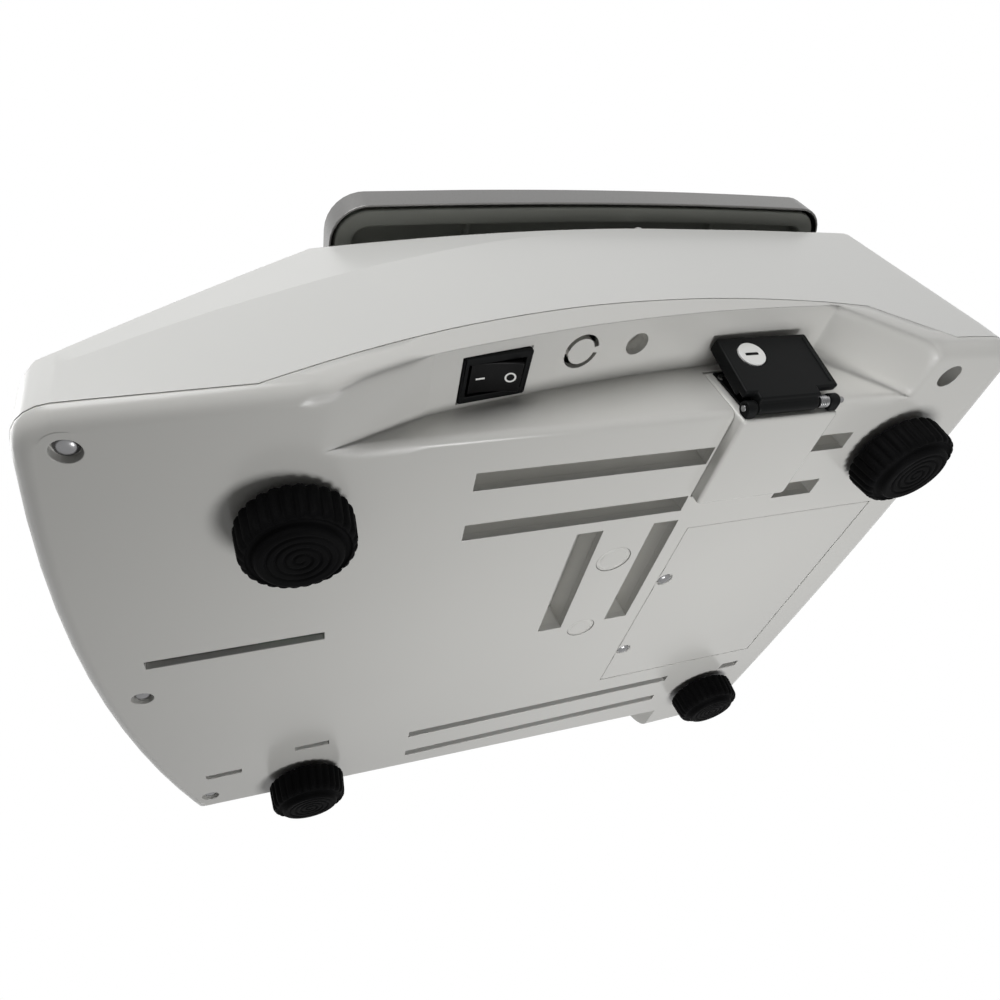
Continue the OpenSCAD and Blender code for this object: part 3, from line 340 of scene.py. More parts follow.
def make_materials():
    m = MATERIALS
    m["shell_plastic"] = moulded_plastic("shell_plastic", (0.72, 0.72, 0.70), 0.3, edges=0.4 * MM, patchy=0)
    m["base_plastic"] = moulded_plastic("base_plastic", (0.64, 0.635, 0.61), 0.24, specular=0.4,
                                        edges=0.5 * MM, wide=5 * MM, patchy=0)
    m["screw_steel"] = plated_steel("plated_steel")
    m["black_plastic"] = moulded_plastic("black_plastic", (0.005, 0.0054, 0.0056), 0.42,
                                         specular=0.07, mottle=0.2)
    m["switch_black"] = moulded_plastic("switch_black", (0.003, 0.003, 0.0032), 0.3, specular=0.1, mottle=0.2)
    m["white_plastic"] = moulded_plastic("white_plastic", (0.85, 0.85, 0.83), 0.3)
    m["brass_tab"] = plated_steel("brass_tab", (0.75, 0.6, 0.3), 0.3)
    m["cell_aluminium"] = plated_steel("cell_aluminium", (0.7, 0.71, 0.72), 0.35)
    m["cast_alloy"] = plated_steel("cast_alloy", (0.5, 0.51, 0.52), 0.55)
    m["foot_rubber"] = rubber()
    # painted shade: the tray's grey is set darker than its plastic, to stand in for the shade under the pan
    m["tray_plastic"] = moulded_plastic("tray_plastic", (0.27, 0.277, 0.252), 0.45, specular=0.3)
    m["pan_steel"] = brushed_steel()
    m["battery_case"] = moulded_plastic("battery_case", (0.05, 0.05, 0.055), 0.5, mottle=0.15)
    m["core_steel"] = plated_steel("core_steel", (0.15, 0.15, 0.16), 0.5)
    m["board_green"] = circuit_board()
    m["lcd_glass"] = moulded_plastic("lcd_glass", (0.42, 0.48, 0.38), 0.1)
    m["window_plastic"] = moulded_plastic("window_plastic", (0.05, 0.06, 0.06), 0.08)
    m["keypad_film"] = moulded_plastic("keypad_film", (0.16, 0.21, 0.27), 0.45)
    m["level_vial"] = moulded_plastic("level_vial", (0.45, 0.7, 0.12), 0.08)
    m["cable_grey"] = rubber("cable_grey", (0.25, 0.25, 0.26), 0.5)
    m["cable_brown"] = rubber("cable_brown", (0.16, 0.07, 0.03), 0.5)
    m["cable_red"] = rubber("cable_red", (0.45, 0.02, 0.02), 0.5)


SLOTS = {p["node"]: p["material_slot"] for p in frame["record"]["subparts"]}


def paint_cad():
    """Gives every CAD node its slot's material."""
    for name, obj in NODES.items():
        obj.data.materials.clear()
        obj.data.materials.append(MATERIALS[SLOTS[name]])
        obj.data.polygons.foreach_set("material_index", [0] * len(obj.data.polygons))


# ---- mesh helpers ----

TOUCHING = 2e-6  # metres; corners nearer than this are one corner


def clean_mesh(source, name, flat=True):
    """A copy of a CAD mesh whose faces are joined along their edges. Flat joins those in one plane, too."""
    bm = bmesh.new()
    bm.from_mesh(source)
    bmesh.ops.remove_doubles(bm, verts=bm.verts, dist=TOUCHING)
    bmesh.ops.dissolve_degenerate(bm, edges=bm.edges, dist=1e-6)
    if flat:
        bmesh.ops.dissolve_limit(bm, angle_limit=math.radians(0.6), verts=bm.verts, edges=bm.edges)
    mesh = bpy.data.meshes.new(name)
    bm.to_mesh(mesh)
    bm.free()
    return mesh


def add_piece(name, mesh, material, body, smooth_angle=None):
    """Links a mesh as a piece that rides a body and takes a record slot's finish."""
    obj = bpy.data.objects.new(name, mesh)
    bpy.context.scene.collection.objects.link(obj)
    mesh.materials.clear()
    mesh.materials.append(MATERIALS[material])
    mesh.polygons.foreach_set("material_index", [0] * len(mesh.polygons))
    mesh.polygons.foreach_set("use_smooth", [True] * len(mesh.polygons))
    if smooth_angle is not None:
        mesh.set_sharp_from_angle(angle=math.radians(smooth_angle))
    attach(obj, body)
    return obj


def add_bevel(obj, width, segments=2, angle=30):
    bevel = obj.modifiers.new("bevel", "BEVEL")
    bevel.width = width
    bevel.segments = segments
    bevel.limit_method = "ANGLE"
    bevel.angle_limit = math.radians(angle)
    bevel.use_clamp_overlap = False
    bevel.harden_normals = False
    even = obj.modifiers.new("even", "WEIGHTED_NORMAL")
    even.weight = 100
    even.keep_sharp = True


def body_of_node(node):
    return NODES[node]["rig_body"]


def joint_place(name):
    return Vector(next(j["pos_m"] for j in frame["joints"] if j["name"] == name))


def extent(points):
    """Lowest and highest corner of the box round some points."""
    low = Vector([min(p[i] for p in points) for i in range(3)])
    high = Vector([max(p[i] for p in points) for i in range(3)])
    return low, high


def ring_faces(rows, count):
    """Faces between closed rings of count points each, one ring after another."""
    faces = []
    for i in range(rows - 1):
        for j in range(count):
            k = (j + 1) % count
            faces.append((i * count + j, i * count + k, (i + 1) * count + k, (i + 1) * count + j))
    return faces


def bar_faces(sections, closed=False):
    """Faces of a bar with four corners to each section. A closed bar joins its last section to its first."""
    faces = []
    for i in range(sections if closed else sections - 1):
        a, b = 4 * i, 4 * ((i + 1) % sections)
        faces += [(a, a + 2, b + 2, b), (a + 1, b + 1, b + 3, a + 3)]
        faces += [(a, b, b + 1, a + 1), (a + 2, a + 3, b + 3, b + 2)]
    if not closed:
        end = 4 * (sections - 1)
        faces += [(0, 1, 3, 2), (end, end + 2, end + 3, end + 1)]
    return faces


def turn_outwards(mesh):
    """Turns the faces of a closed mesh outwards."""
    bm = bmesh.new()
    bm.from_mesh(mesh)
    bmesh.ops.recalc_face_normals(bm, faces=bm.faces)
    bm.to_mesh(mesh)
    bm.free()


def mesh_of(name, verts, faces):
    """A closed mesh whose faces point outwards."""
    mesh = bpy.data.meshes.new(name)
    mesh.from_pydata(verts, [], faces)
    turn_outwards(mesh)
    return mesh


def edge_cutter():
    """What the round takes off the long edge between the underside and the recess's wall."""
    front, rear = RECESS_ENDS
    sections = [(front, 0.02), (front + 9 * MM, 1), (rear - 8 * MM, 1), (rear, 0.02)]
    steps = 9  # along the round, besides its first point
    out, under = RECESS_WALL + 1 * MM, GROUND - 1 * MM
    verts = []
    for y, share in sections:
        r = RECESS_EDGE * share
        for i in range(steps + 1):
            a = math.pi / 2 * i / steps
            verts.append(Vector((RECESS_WALL - r + r * math.sin(a), y, GROUND + r - r * math.cos(a))))
        verts += [Vector((out, y, GROUND + r)), Vector((out, y, under)), Vector((RECESS_WALL - r, y, under))]
    count = steps + 4
    last = (len(sections) - 1) * count
    faces = ring_faces(len(sections), count) + [tuple(range(count)), tuple(range(last, last + count))]
    return mesh_of("edge_cutter", verts, faces)


WIDE = 12 * MM  # a flat region wider than this keeps its own plane in the shading
SAME_PLANE = math.radians(0.7)
SMOOTH_BELOW = math.radians(26)  # two faces that meet at less than this are shaded as one arc


def flat_regions(bm):
    """Groups of faces in one plane: each face's group, and each group's normal and width."""
    group, groups = {}, []
    for start in bm.faces:
        if start in group:
            continue
        group[start] = len(groups)
        stack, members = [start], []
        while stack:
            face = stack.pop()
            members.append(face)
            for edge in face.edges:
                if len(edge.link_faces) == 2 and edge.calc_face_angle() < SAME_PLANE:
                    for other in edge.link_faces:
                        if other not in group:
                            group[other] = len(groups)
                            stack.append(other)
        area = sum(f.calc_area() for f in members)
        normal = sum((f.normal * f.calc_area() for f in members), Vector())
        low, high = extent([v.co for f in members for v in f.verts])
        plane = normal.normalized() if area > 0 else members[0].normal.copy()
        groups.append((plane, area / max((high - low).length, 1e-9)))
    return group, groups


def even_normals(mesh):
    """Normals that are smooth over arcs and keep to the plane on every wide flat region."""
    bm = bmesh.new()
    bm.from_mesh(mesh)
    bm.edges.index_update()
    bm.faces.index_update()
    group, groups = flat_regions(bm)

    def smooth(edge):
        if len(edge.link_faces) != 2:
            return False
        a, b = (groups[group[f]] for f in edge.link_faces)
        two_planes = a[1] > WIDE and b[1] > WIDE and a is not b
        return edge.calc_face_angle() < SMOOTH_BELOW and not two_planes

    soft = {edge.index: smooth(edge) for edge in bm.edges}
    corner = {}
    for vert in bm.verts:
        left = set(vert.link_faces)
        while left:
            stack, fan = [left.pop()], []
            while stack:
                face = stack.pop()
                fan.append(face)
                for edge in face.edges:
                    if vert in edge.verts and soft[edge.index]:
                        for other in edge.link_faces:
                            if other in left:
                                left.discard(other)
                                stack.append(other)
            total = Vector()
            for g in {group[f] for f in fan}:
                total += groups[g][0] * (groups[g][1] ** 2 + 1e-12)
            normal = total.normalized()
            for face in fan:
                corner[face.index, vert.index] = normal
    bm.free()
    mesh.polygons.foreach_set("use_smooth", [True] * len(mesh.polygons))
    normals = []
    for face in mesh.polygons:
        normals += [corner[face.index, mesh.loops[i].vertex_index] for i in face.loop_indices]
    mesh.normals_split_custom_set(normals)


def dress_shell(node, cutters=()):
    """A housing shell shown as a copy, less its cutters; its small edges are softened in its material."""
    mesh = clean_mesh(NODES[node].data, node + "_shell", flat=False)
    obj = add_piece(node + "_shell", mesh, SLOTS[node], "housing")
    for cutter in cutters:
        carve(obj, cutter)
    even_normals(obj.data)
    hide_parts(node)


def dress(node, width):
    """A CAD node shown as a copy with small rounds on its sharp edges."""
    mesh = clean_mesh(NODES[node].data, node + "_round")
    obj = add_piece(node + "_round", mesh, SLOTS[node], body_of_node(node))
    add_bevel(obj, width)
    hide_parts(node)


def islands(node):
    """Lowest and highest corners of each separate solid in a node."""
    bm = bmesh.new()
    bm.from_mesh(NODES[node].data)
    bmesh.ops.remove_doubles(bm, verts=bm.verts, dist=TOUCHING)
    seen, found = set(), []
    for start in bm.verts:
        if start in seen:
            continue
        stack, group = [start], []
        seen.add(start)
        while stack:
            v = stack.pop()
            group.append(v.co.copy())
            for e in v.link_edges:
                w = e.other_vert(v)
                if w not in seen:
                    seen.add(w)
                    stack.append(w)
        found.append(extent(group))
    bm.free()
    return found


def lathe(rows, count, name):
    """A mesh from closed rings of count points, joined in order. A fan closes the first and the last ring."""
    verts, faces = [], ring_faces(len(rows), count)
    for row in rows:
        verts.extend(row)
    for row, flip in ((0, True), (len(rows) - 1, False)):
        around = [row * count + j for j in range(count)]
        middle = len(verts)
        verts.append(sum((Vector(verts[v]) for v in around), Vector()) / count)
        for j in range(count):
            a, b = around[j], around[(j + 1) % count]
            faces.append((b, a, middle) if flip else (a, b, middle))
    mesh = bpy.data.meshes.new(name)
    mesh.from_pydata(verts, [], faces)
    mesh.update()
    return mesh


def ring(r, z, count):
    turns = [2 * math.pi * j / count for j in range(count)]
    return [Vector((r * math.cos(a), r * math.sin(a), z)) for a in turns]


def prism(profile, depth, name):
    """A closed solid from a 2-D outline in X and Y, from z = 0 to z = depth."""
    n = len(profile)
    verts = [Vector((p[0], p[1], z)) for z in (0, depth) for p in profile]
    faces = [tuple(reversed(range(n))), tuple(range(n, 2 * n))]
    faces += [(i, (i + 1) % n, n + (i + 1) % n, n + i) for i in range(n)]
    mesh = bpy.data.meshes.new(name)
    mesh.from_pydata(verts, [], faces)
    mesh.update()
    return mesh


def across(x0):
    """Turns a prism so that its outline lies in Y and Z and it runs along X from x0."""
    return Matrix(((0, 0, 1, x0), (1, 0, 0, 0), (0, 1, 0, 0), (0, 0, 0, 1)))


def carve(obj, cutter_mesh):
    """Cuts a closed mesh out of a piece for good."""
    cutter = bpy.data.objects.new("cutter", cutter_mesh)
    bpy.context.scene.collection.objects.link(cutter)
    cutter.matrix_world = obj.matrix_world
    cut = obj.modifiers.new("cut", "BOOLEAN")
    cut.object = cutter
    cut.operation = "DIFFERENCE"
    cut.solver = "EXACT"
    bpy.context.view_layer.update()
    graph = bpy.context.evaluated_depsgraph_get()
    mesh = bpy.data.meshes.new_from_object(obj.evaluated_get(graph))
    obj.modifiers.remove(cut)
    obj.data = mesh
    bpy.data.objects.remove(cutter)


# ---- pockets behind the vents, cup behind the cable hole, knock-out ring ----

WALL = 2.5 * MM
RIM_GAP = 0.05 * MM  # by which a pocket starts inside the wall
POCKET_DEPTH = 11 * MM
POCKET_WALL = 0.9 * MM
# the wide vents' ends in millimetres, across and along the scale
CELL_VENT_X = (1.1, 60.6)
CELL_VENTS_Y = ((4.65, 14.45), (33.95, 43.75))
SIDE_VENTS_X = ((65.7, 73.0), (88.0, 95.3))
SIDE_VENTS_Y = ((-36.5, 42.4), (80.0, 97.3))
VENTS = [(CELL_VENT_X, y) for y in CELL_VENTS_Y] + [(x, y) for y in SIDE_VENTS_Y for x in SIDE_VENTS_X]

CABLE_HOLE = (120.8 * MM, 15.8 * MM, 36.1 * MM)  # the hole's middle on the recess's ceiling
CABLE_HOLE_R = 3.7 * MM
CUP_MIDDLE = 1.2 * MM  # radius inside which a fan closes the cup's bottom
CUP_WALL = 0.8 * MM
CUP_DEPTH = (2.2 * MM, 6 * MM)  # its rim and its bottom, from the ceiling
CUP_SIDES = 48

KNOCK_OUT = (121.0 * MM, -3.5 * MM)
KNOCK_OUT_R = (4.25 * MM, 5.65 * MM)
KNOCK_OUT_Z = (29 * MM, 38 * MM)  # from below the ceiling to above it
RING_TURN = math.radians(90)
RING_GAP = math.radians(12)  # half the bridge between the ring's two arcs


def make_pockets():
    """Shallow pockets in the housing behind the wide vents, open downwards."""
    rim = WALL - RIM_GAP
    levels = ((0, rim), (0, POCKET_DEPTH), (POCKET_WALL, POCKET_DEPTH + POCKET_WALL), (POCKET_WALL, rim))
    verts, faces = [], []
    for (x0, x1), (y0, y1) in VENTS:
        start = len(verts)
        for grow, z in levels:
            for x, y, sx, sy in ((x0, y0, -1, -1), (x1, y0, 1, -1), (x1, y1, 1, 1), (x0, y1, -1, 1)):
                verts.append((x * MM + sx * grow, y * MM + sy * grow, GROUND + z))
        for a, b in ((0, 1), (2, 3), (3, 0)):
            for j in range(4):
                k = (j + 1) % 4
                faces.append((start + 4 * a + j, start + 4 * a + k, start + 4 * b + k, start + 4 * b + j))
        for level in (1, 2):
            faces.append(tuple(start + 4 * level + j for j in range(4)))
    add_piece("vent_pockets", mesh_of("vent_pockets", verts, faces), "base_plastic", "housing", 30)


def make_hole_cup():
    """A blind cup behind the cable hole."""
    rim, bottom = CUP_DEPTH
    inner, outer, middle = CABLE_HOLE_R, CABLE_HOLE_R + CUP_WALL, CUP_MIDDLE
    inside = [(middle, bottom), (inner, bottom), (inner, rim)]
    outside = [(outer, rim), (outer, bottom + CUP_WALL), (middle, bottom + CUP_WALL)]
    mesh = lathe([ring(r, z, CUP_SIDES) for r, z in inside + outside], CUP_SIDES, "cable_hole_cup")
    mesh.transform(Matrix.Translation(CABLE_HOLE))
    turn_outwards(mesh)
    add_piece("cable_hole_cup", mesh, "base_plastic", "housing", 30)


def ring_cutter(start, end):
    """One arc of the knock-out ring, from one angle to another."""
    steps, verts = 24, []
    x, y = KNOCK_OUT
    for i in range(steps + 1):
        a = start + (end - start) * i / steps
        for r in KNOCK_OUT_R:
            for z in KNOCK_OUT_Z:
                verts.append((x + r * math.cos(a), y + r * math.sin(a), z))
    return mesh_of("ring_cutter", verts, bar_faces(steps + 1))


def knock_out_cutters():
    starts = [RING_TURN + half for half in (0, math.pi)]
    return [ring_cutter(start + RING_GAP, start + math.pi - RING_GAP) for start in starts]


# ---- feet ----

FLUTES = 28
FLUTE_SAMPLES = 8
FLUTE_DEPTH = 0.9 * MM
SOLE_SHARE = 0.72  # the sole's radius as a share of the knob's
# outlines in millimetres; the second number is the height above the ground
SOLE_EDGE = [(0.93, 0.05), (0.965, 0.25), (0.99, 0.6)]  # shares of the sole's radius
SOLE_SIDE = [(0, 1.1), (0.2, 1.7), (0.55, 2.35), (1.1, 2.7), (1.7, 2.6), (2.0, 2.2)]  # past the sole's radius
# past the knob's radius, with the share of their depth that the flutes have there
KNOB_SIDE = [(-2.3, 2.0, 0.2), (-1.7, 2.15, 0.5), (-1.15, 2.6, 0.75), (-0.75, 3.3, 0.95), (-0.55, 4.2, 1),
             (-0.45, 5.5, 1), (-0.2, 8.5, 1), (-0.02, 11.0, 1), (-0.1, 11.7, 1), (-0.4, 12.25, 0.9),
             (-0.9, 12.5, 0.6), (-1.6, 12.55, 0.2), (-6, 12.56, 0)]
STEM_R = 6.5 * MM
STEM_FROM = 12.6 * MM
STEM_EDGE = (0.3 * MM, 0.2 * MM)  # the slope at the stem's top, across and along it
SOLE_ROWS = 44  # rings of the grooved part of the sole
SPIRAL_TURNS = 4.3
SPIRAL_SHARE = 0.86  # the spiral's radius as a share of the sole's
SPIRAL_DEPTH = 0.55 * MM


def knob_ring(r, z, flute):
    """A ring of the knob, its flutes cut in by a share of their depth."""
    count = FLUTES * FLUTE_SAMPLES
    points = []
    for j in range(count):
        a = 2 * math.pi * j / count
        cut = (0.5 + 0.5 * math.cos(a * FLUTES)) ** 2.2
        rr = r - flute * FLUTE_DEPTH * cut
        points.append(Vector((rr * math.cos(a), rr * math.sin(a), z)))
    return points


def sole_ring(r, r_sole):
    """A ring of the sole with its spiral groove."""
    count = FLUTES * FLUTE_SAMPLES
    r_spiral = r_sole * SPIRAL_SHARE
    pitch = r_spiral / SPIRAL_TURNS
    points = []
    for j in range(count):
        a = 2 * math.pi * j / count
        phase = r / pitch - j / count
        groove = max(0.0, math.cos(2 * math.pi * phase)) ** 1.5
        inside = min(1.0, max(0.0, (r - 0.25 * pitch) / (0.3 * pitch)))
        outside = min(1.0, max(0.0, (r_spiral - r) / (0.25 * pitch)))
        points.append(Vector((r * math.cos(a), r * math.sin(a), SPIRAL_DEPTH * groove * inside * outside)))
    return points


def make_knob(node):
    """A fluted foot with a spiral groove in its rubber sole."""
    lo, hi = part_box(node)
    r = (hi.x - lo.x) / 2
    top = hi.z - lo.z
    r_sole = r * SOLE_SHARE
    grooved = r_sole * 0.9
    rows = [sole_ring(grooved * (i + 1) / SOLE_ROWS, r_sole) for i in range(SOLE_ROWS)]
    rows += [knob_ring(r_sole * share, z * MM, 0) for share, z in SOLE_EDGE]
    rows += [knob_ring(r_sole + a * MM, z * MM, 0) for a, z in SOLE_SIDE]
    rows += [knob_ring(r + a * MM, z * MM, flute) for a, z, flute in KNOB_SIDE]
    stem = [(STEM_R, STEM_FROM), (STEM_R, top - STEM_EDGE[1]), (STEM_R - STEM_EDGE[0], top)]
    rows += [knob_ring(a, z, 0) for a, z in stem]
    mesh = lathe(rows, FLUTES * FLUTE_SAMPLES, node + "_knob")
    mesh.transform(Matrix.Translation(((lo.x + hi.x) / 2, (lo.y + hi.y) / 2, lo.z)))
    obj = add_piece(node + "_knob", mesh, "foot_rubber", body_of_node(node))
    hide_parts(node)


# ---- studs with their threads ----

THREAD_PITCH = 1.25 * MM
THREAD_DEPTH = 0.6 * MM
THREAD_SAMPLES = 24  # round the stud
THREAD_ROWS = 6  # per pitch
THREAD_TAPER = 2 * MM


def make_stud(node):
    """A foot's stud with a real thread, tapered at its upper end."""
    lo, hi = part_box(node)
    r = (hi.x - lo.x) / 2
    count = THREAD_SAMPLES
    length = hi.z - lo.z
    steps_z = int(length / (THREAD_PITCH / THREAD_ROWS))
    rows = []
    for i in range(steps_z + 1):
        row = []
        for j in range(count):
            z = length * i / steps_z
            a = 2 * math.pi * j / count
            phase = (z / THREAD_PITCH - j / count) % 1.0
            cut = THREAD_DEPTH * (1 - abs(2 * phase - 1))
            taper = min(1.0, (length - z) / THREAD_TAPER)
            rr = (r - cut) * (0.8 + 0.2 * taper)
            row.append(Vector((rr * math.cos(a), rr * math.sin(a), z)))
        rows.append(row)
    mesh = lathe(rows, count, node + "_thread")
    mesh.transform(Matrix.Translation(((lo.x + hi.x) / 2, (lo.y + hi.y) / 2, lo.z)))
    obj = add_piece(node + "_thread", mesh, "screw_steel", body_of_node(node), 50)
    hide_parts(node)


# ---- cross screws ----

SCREW_SIDES = 40
CROSS_TIP = 0.45  # size of the cross at its bottom as a share of that at its top
CROSS_DEPTH = 0.9  # as a share of the head's height
CROSS_TURN = 0.7  # radians from one screw's cross to the next one's
SHANK_R = 1.25 * MM
SHANK_TIP = 1 * MM
# the head's outline: shares of its radius and of its height
DOME = [(0.12, 0.0), (0.4, 0.03), (0.6, 0.1), (0.78, 0.24), (0.9, 0.42), (0.97, 0.62), (1.0, 0.8)]


def cross_cutter(r, depth):
    """The bit-shaped recess of a cross screw: four arms that narrow towards the tip."""
    arm, half = r * 0.56, r * 0.14
    outline = []
    for quarter in range(4):
        a = quarter * math.pi / 2
        c, s = math.cos(a), math.sin(a)
        for x, y in ((arm, -half), (arm, half), (half * 1.6, half * 1.6)):
            outline.append((x * c - y * s, x * s + y * c))
    n = len(outline)
    verts = [Vector((x, y, -0.3 * MM)) for x, y in outline]
    verts += [Vector((x * CROSS_TIP, y * CROSS_TIP, depth)) for x, y in outline]
    faces = [tuple(range(n)), tuple(reversed(range(n, 2 * n)))]
    faces += [(i, n + i, n + (i + 1) % n, (i + 1) % n) for i in range(n)]
    mesh = bpy.data.meshes.new("cross")
    mesh.from_pydata(verts, [], faces)
    mesh.update()
    return mesh


def make_screws(node, head_h, turn):
    """Domed cross screws whose heads face down, one for each solid of the node."""
    for i, (lo, hi) in enumerate(islands(node)):
        r = (hi.x - lo.x) / 2
        long = hi.z - lo.z
        at = Vector(((lo.x + hi.x) / 2, (lo.y + hi.y) / 2, lo.z))
        profile = [(r * a, head_h * z) for a, z in DOME]
        profile += [(r, head_h), (SHANK_R, head_h), (SHANK_R, long - SHANK_TIP), (SHANK_R * 0.4, long)]
        mesh = lathe([ring(a, z, SCREW_SIDES) for a, z in profile], SCREW_SIDES, f"{node}_{i}")
        obj = add_piece(f"{node}_{i}", mesh, "screw_steel", body_of_node(node))
        carve(obj, cross_cutter(r, head_h * CROSS_DEPTH))
        place = Matrix.Translation(at) @ Matrix.Rotation(turn + i * CROSS_TURN, 4, "Z")
        obj.data.transform(place)
        obj.data.polygons.foreach_set("use_smooth", [True] * len(obj.data.polygons))
        obj.data.set_sharp_from_angle(angle=math.radians(35))
    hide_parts(node)


# ---- switch ----

SWITCH_SLOPE = math.radians(8)  # lean of the recess ceiling at the switch
ROCKER_TILT = math.radians(10)
ROCKER_HALF = 7.5 * MM
ROCKER_WIDE = 4.9 * MM  # half its width
ROCKER_STEPS = 24
MARK_PROUD = 0.04 * MM
MARK_SUNK = -0.1 * MM


def rocker_frame():
    """From the rocker's own axes, its Y along the scale and its Z out of its face, to the scale's."""
    lean = Matrix.Rotation(SWITCH_SLOPE, 4, "X")
    mirror = Matrix.Scale(-1, 4, (0, 0, 1))
    tilt = Matrix.Rotation(ROCKER_TILT, 4, "X")
    return Matrix.Translation(joint_place("power_switch")) @ lean @ mirror @ tilt


def rocker_face(y):
    """Height of the rocker's hollowed face at a place along it."""
    t = abs(y) / ROCKER_HALF
    return (2.05 + 0.85 * t - 0.28 * math.sin(math.pi * t)) * MM


def make_rocker():
    """The switch's rocker with its hollowed face and its two printed marks."""
    half = ROCKER_HALF
    end = half - 0.1 * MM
    top = [end - 2 * end * i / ROCKER_STEPS for i in range(ROCKER_STEPS + 1)]
    outline = [(-half, -4 * MM), (0, -6 * MM), (half, -4 * MM)] + [(y, rocker_face(y)) for y in top]
    mesh = prism(outline, 2 * ROCKER_WIDE, "rocker")
    mesh.transform(across(-ROCKER_WIDE))
    mesh.transform(rocker_frame())
    turn_outwards(mesh)
    obj = add_piece("rocker", mesh, "switch_black", "switch_rocker_body")
    add_bevel(obj, 0.35 * MM, 3, 25)
    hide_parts("switch_rocker")
    mark_line()
    mark_ring()


def on_rocker(x, y, proud):
    return Vector((x, y, rocker_face(y) + proud))


def mark_line():
    """The on mark: a short line printed on the front half."""
    w, l, y0 = 0.55 * MM, 2.6 * MM, -4.2 * MM
    rows = 8
    verts = []
    for i in range(rows + 1):
        y = y0 - l / 2 + l * i / rows
        for x in (-w / 2, w / 2):
            verts += [on_rocker(x, y, MARK_PROUD), on_rocker(x, y, MARK_SUNK)]
    finish_mark("rocker_on_mark", verts, bar_faces(rows + 1))


def mark_ring():
    """The off mark: a ring printed on the rear half."""
    r_out, r_in, y0, count = 1.6 * MM, 1.1 * MM, 4.4 * MM, 40
    verts = []
    for j in range(count):
        a = 2 * math.pi * j / count
        for r in (r_in, r_out):
            x, y = r * math.cos(a), y0 + r * math.sin(a)
            verts += [on_rocker(x, y, MARK_PROUD), on_rocker(x, y, MARK_SUNK)]
    finish_mark("rocker_off_mark", verts, bar_faces(count, closed=True))


def finish_mark(name, verts, faces):
    mesh = bpy.data.meshes.new(name)
    mesh.from_pydata(verts, [], faces)
    mesh.transform(rocker_frame())
    turn_outwards(mesh)
    add_piece(name, mesh, "white_plastic", "switch_rocker_body", 30)


# ---- flap of the mains socket ----

FLAP_LEAN = math.radians(12)
FLAP_T = 4 * MM
LATCH_AT = (-7.5 * MM, 17 * MM)  # along the hinge and up the flap
LATCH_SLOT = (2.3 * MM, 0.5 * MM)  # half its length and half its width
LATCH_SLOT_X = (FLAP_T - 0.9 * MM, FLAP_T + 0.2 * MM)
RIB_Y = (14.6 * MM, 15.3 * MM)
RIB_Z = (4.5 * MM, 22.6 * MM)
RIB_X = (FLAP_T - 0.4 * MM, FLAP_T + 0.25 * MM)
SPRING_TURNS = 5
SPRING_STEPS = 20  # per turn
SPRING_WIRE = 0.28 * MM


def flap_frame_matrix():
    """From the flap's own axes, its Z up along it and its X out of it, to the scale's."""
    return Matrix.Translation(joint_place("flap_hinge")) @ Matrix.Rotation(FLAP_LEAN, 4, "Y")


def on_flap(outline, x0, x1, name, body):
    """A bar on the flap's face: an outline in the flap's Y and Z, between two distances out of the hinge."""
    mesh = prism(outline, x1 - x0, name)
    mesh.transform(across(x0))
    mesh.transform(flap_frame_matrix())
    turn_outwards(mesh)
    return add_piece(name, mesh, "black_plastic", body, 30)


def rounded_bar(y0, y1, z0, z1, r):
    """Outline of a bar with round corners."""
    points, steps = [], 6
    for cy, cz, turn in ((y1 - r, z1 - r, 0), (y0 + r, z1 - r, 1), (y0 + r, z0 + r, 2), (y1 - r, z0 + r, 3)):
        for i in range(steps + 1):
            a = math.pi / 2 * (turn + i / steps)
            points.append((cy + r * math.cos(a), cz + r * math.sin(a)))
    return points


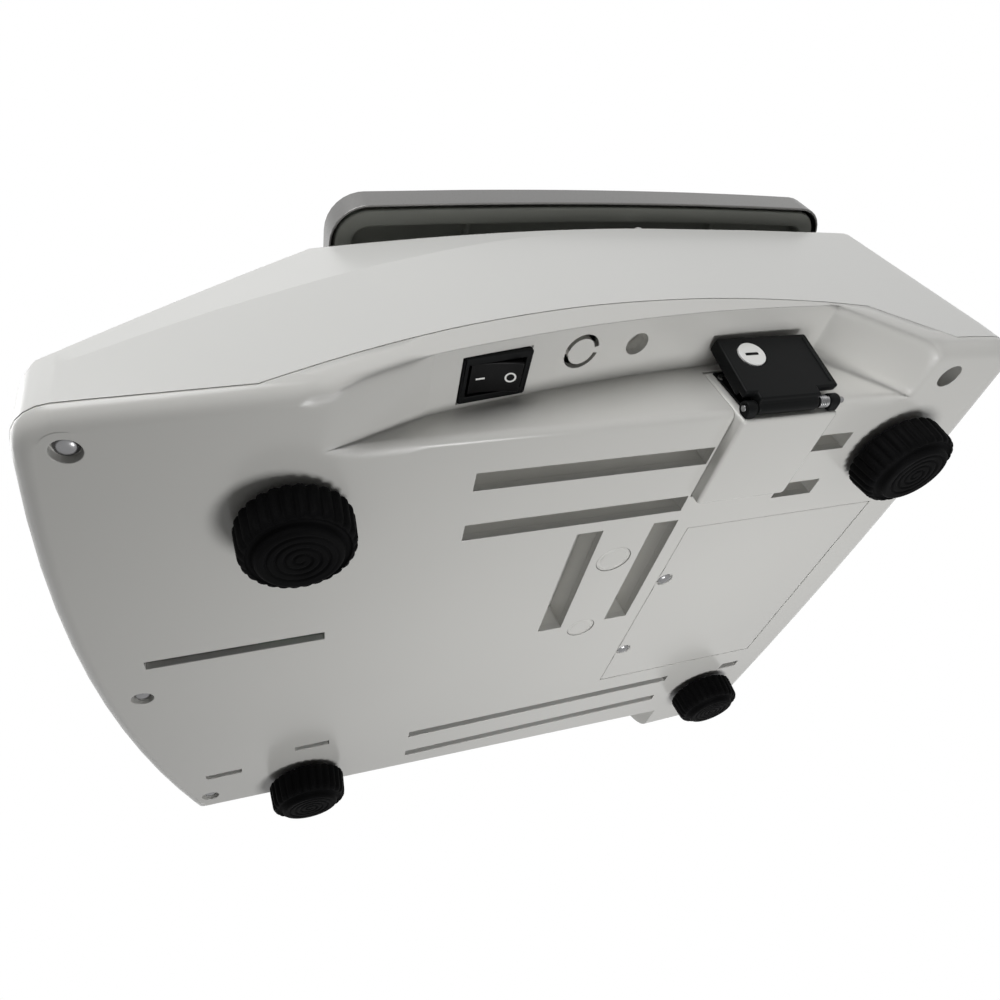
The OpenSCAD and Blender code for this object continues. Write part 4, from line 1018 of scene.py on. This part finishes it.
def make_flap_details():
    """The dark slot of the latch and the rib along the flap's rear edge."""
    y, z = LATCH_AT
    half_l, half_w = LATCH_SLOT
    slot = rounded_bar(y - half_l, y + half_l, z - half_w, z + half_w, half_w - 0.01 * MM)
    on_flap(slot, *LATCH_SLOT_X, "latch_slot", "latch")
    rib = on_flap(rounded_bar(*RIB_Y, *RIB_Z, 0.3 * MM), *RIB_X, "flap_rib", "flap")
    add_bevel(rib, 0.12 * MM)


def make_spring():
    """The flap's coil spring, as a round wire along a helix about the hinge."""
    lo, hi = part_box("flap_spring")
    r = (hi.x - lo.x) / 2 - SPRING_WIRE
    middle = (lo + hi) / 2
    length = hi.y - lo.y - 2 * SPRING_WIRE
    around, along = 8, SPRING_TURNS * SPRING_STEPS
    axis = Vector((0, 1, 0))
    verts = []
    for i in range(along + 1):
        a = 2 * math.pi * i / SPRING_STEPS
        centre = Vector((r * math.cos(a), length * (i / along - 0.5), r * math.sin(a)))
        out = Vector((math.cos(a), 0, math.sin(a)))
        for j in range(around):
            b = 2 * math.pi * j / around
            verts.append(middle + centre + SPRING_WIRE * (math.cos(b) * out + math.sin(b) * axis))
    faces = ring_faces(along + 1, around)
    faces += [tuple(range(around)), tuple(reversed(range(along * around, (along + 1) * around)))]
    obj = add_piece("spring", mesh_of("spring", verts, faces), "screw_steel", "housing")
    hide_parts("flap_spring")


# ---- the scene ----

ROUNDS = {  # in millimetres
    "battery_door": 0.4, "hole_plugs": 0.25, "socket_box": 1.2, "mains_inlet": 0.4, "flap_frame": 0.5,
    "socket_flap": 0.7, "flap_latch": 0.25, "flap_pin": 0.2, "switch_frame": 0.5, "pan_plate": 0.3,
    "pan_tray": 0.8, "pan_spider": 1.0, "keypad": 0.3, "display_window": 0.3, "customer_window": 0.3,
    "bubble_level": 0.4,
}

make_camera()
make_world()
make_floor()
for name, lamp in LAMPS.items():
    area_lamp(name, *lamp)
make_materials()
paint_cad()
for corner in ("front_right", "front_left", "rear_right", "rear_left"):
    make_knob("foot_" + corner)
    make_stud("stud_" + corner)
make_screws("housing_screws", 2 * MM, 0.4)
make_screws("door_screws", 1.6 * MM, 0.9)
make_rocker()
make_spring()
make_flap_details()
make_pockets()
make_hole_cup()
dress_shell("base_housing", [edge_cutter()] + knock_out_cutters())
dress_shell("top_housing")
for node, width in ROUNDS.items():
    dress(node, width * MM)

bpy.context.scene.view_settings.view_transform = "Standard"
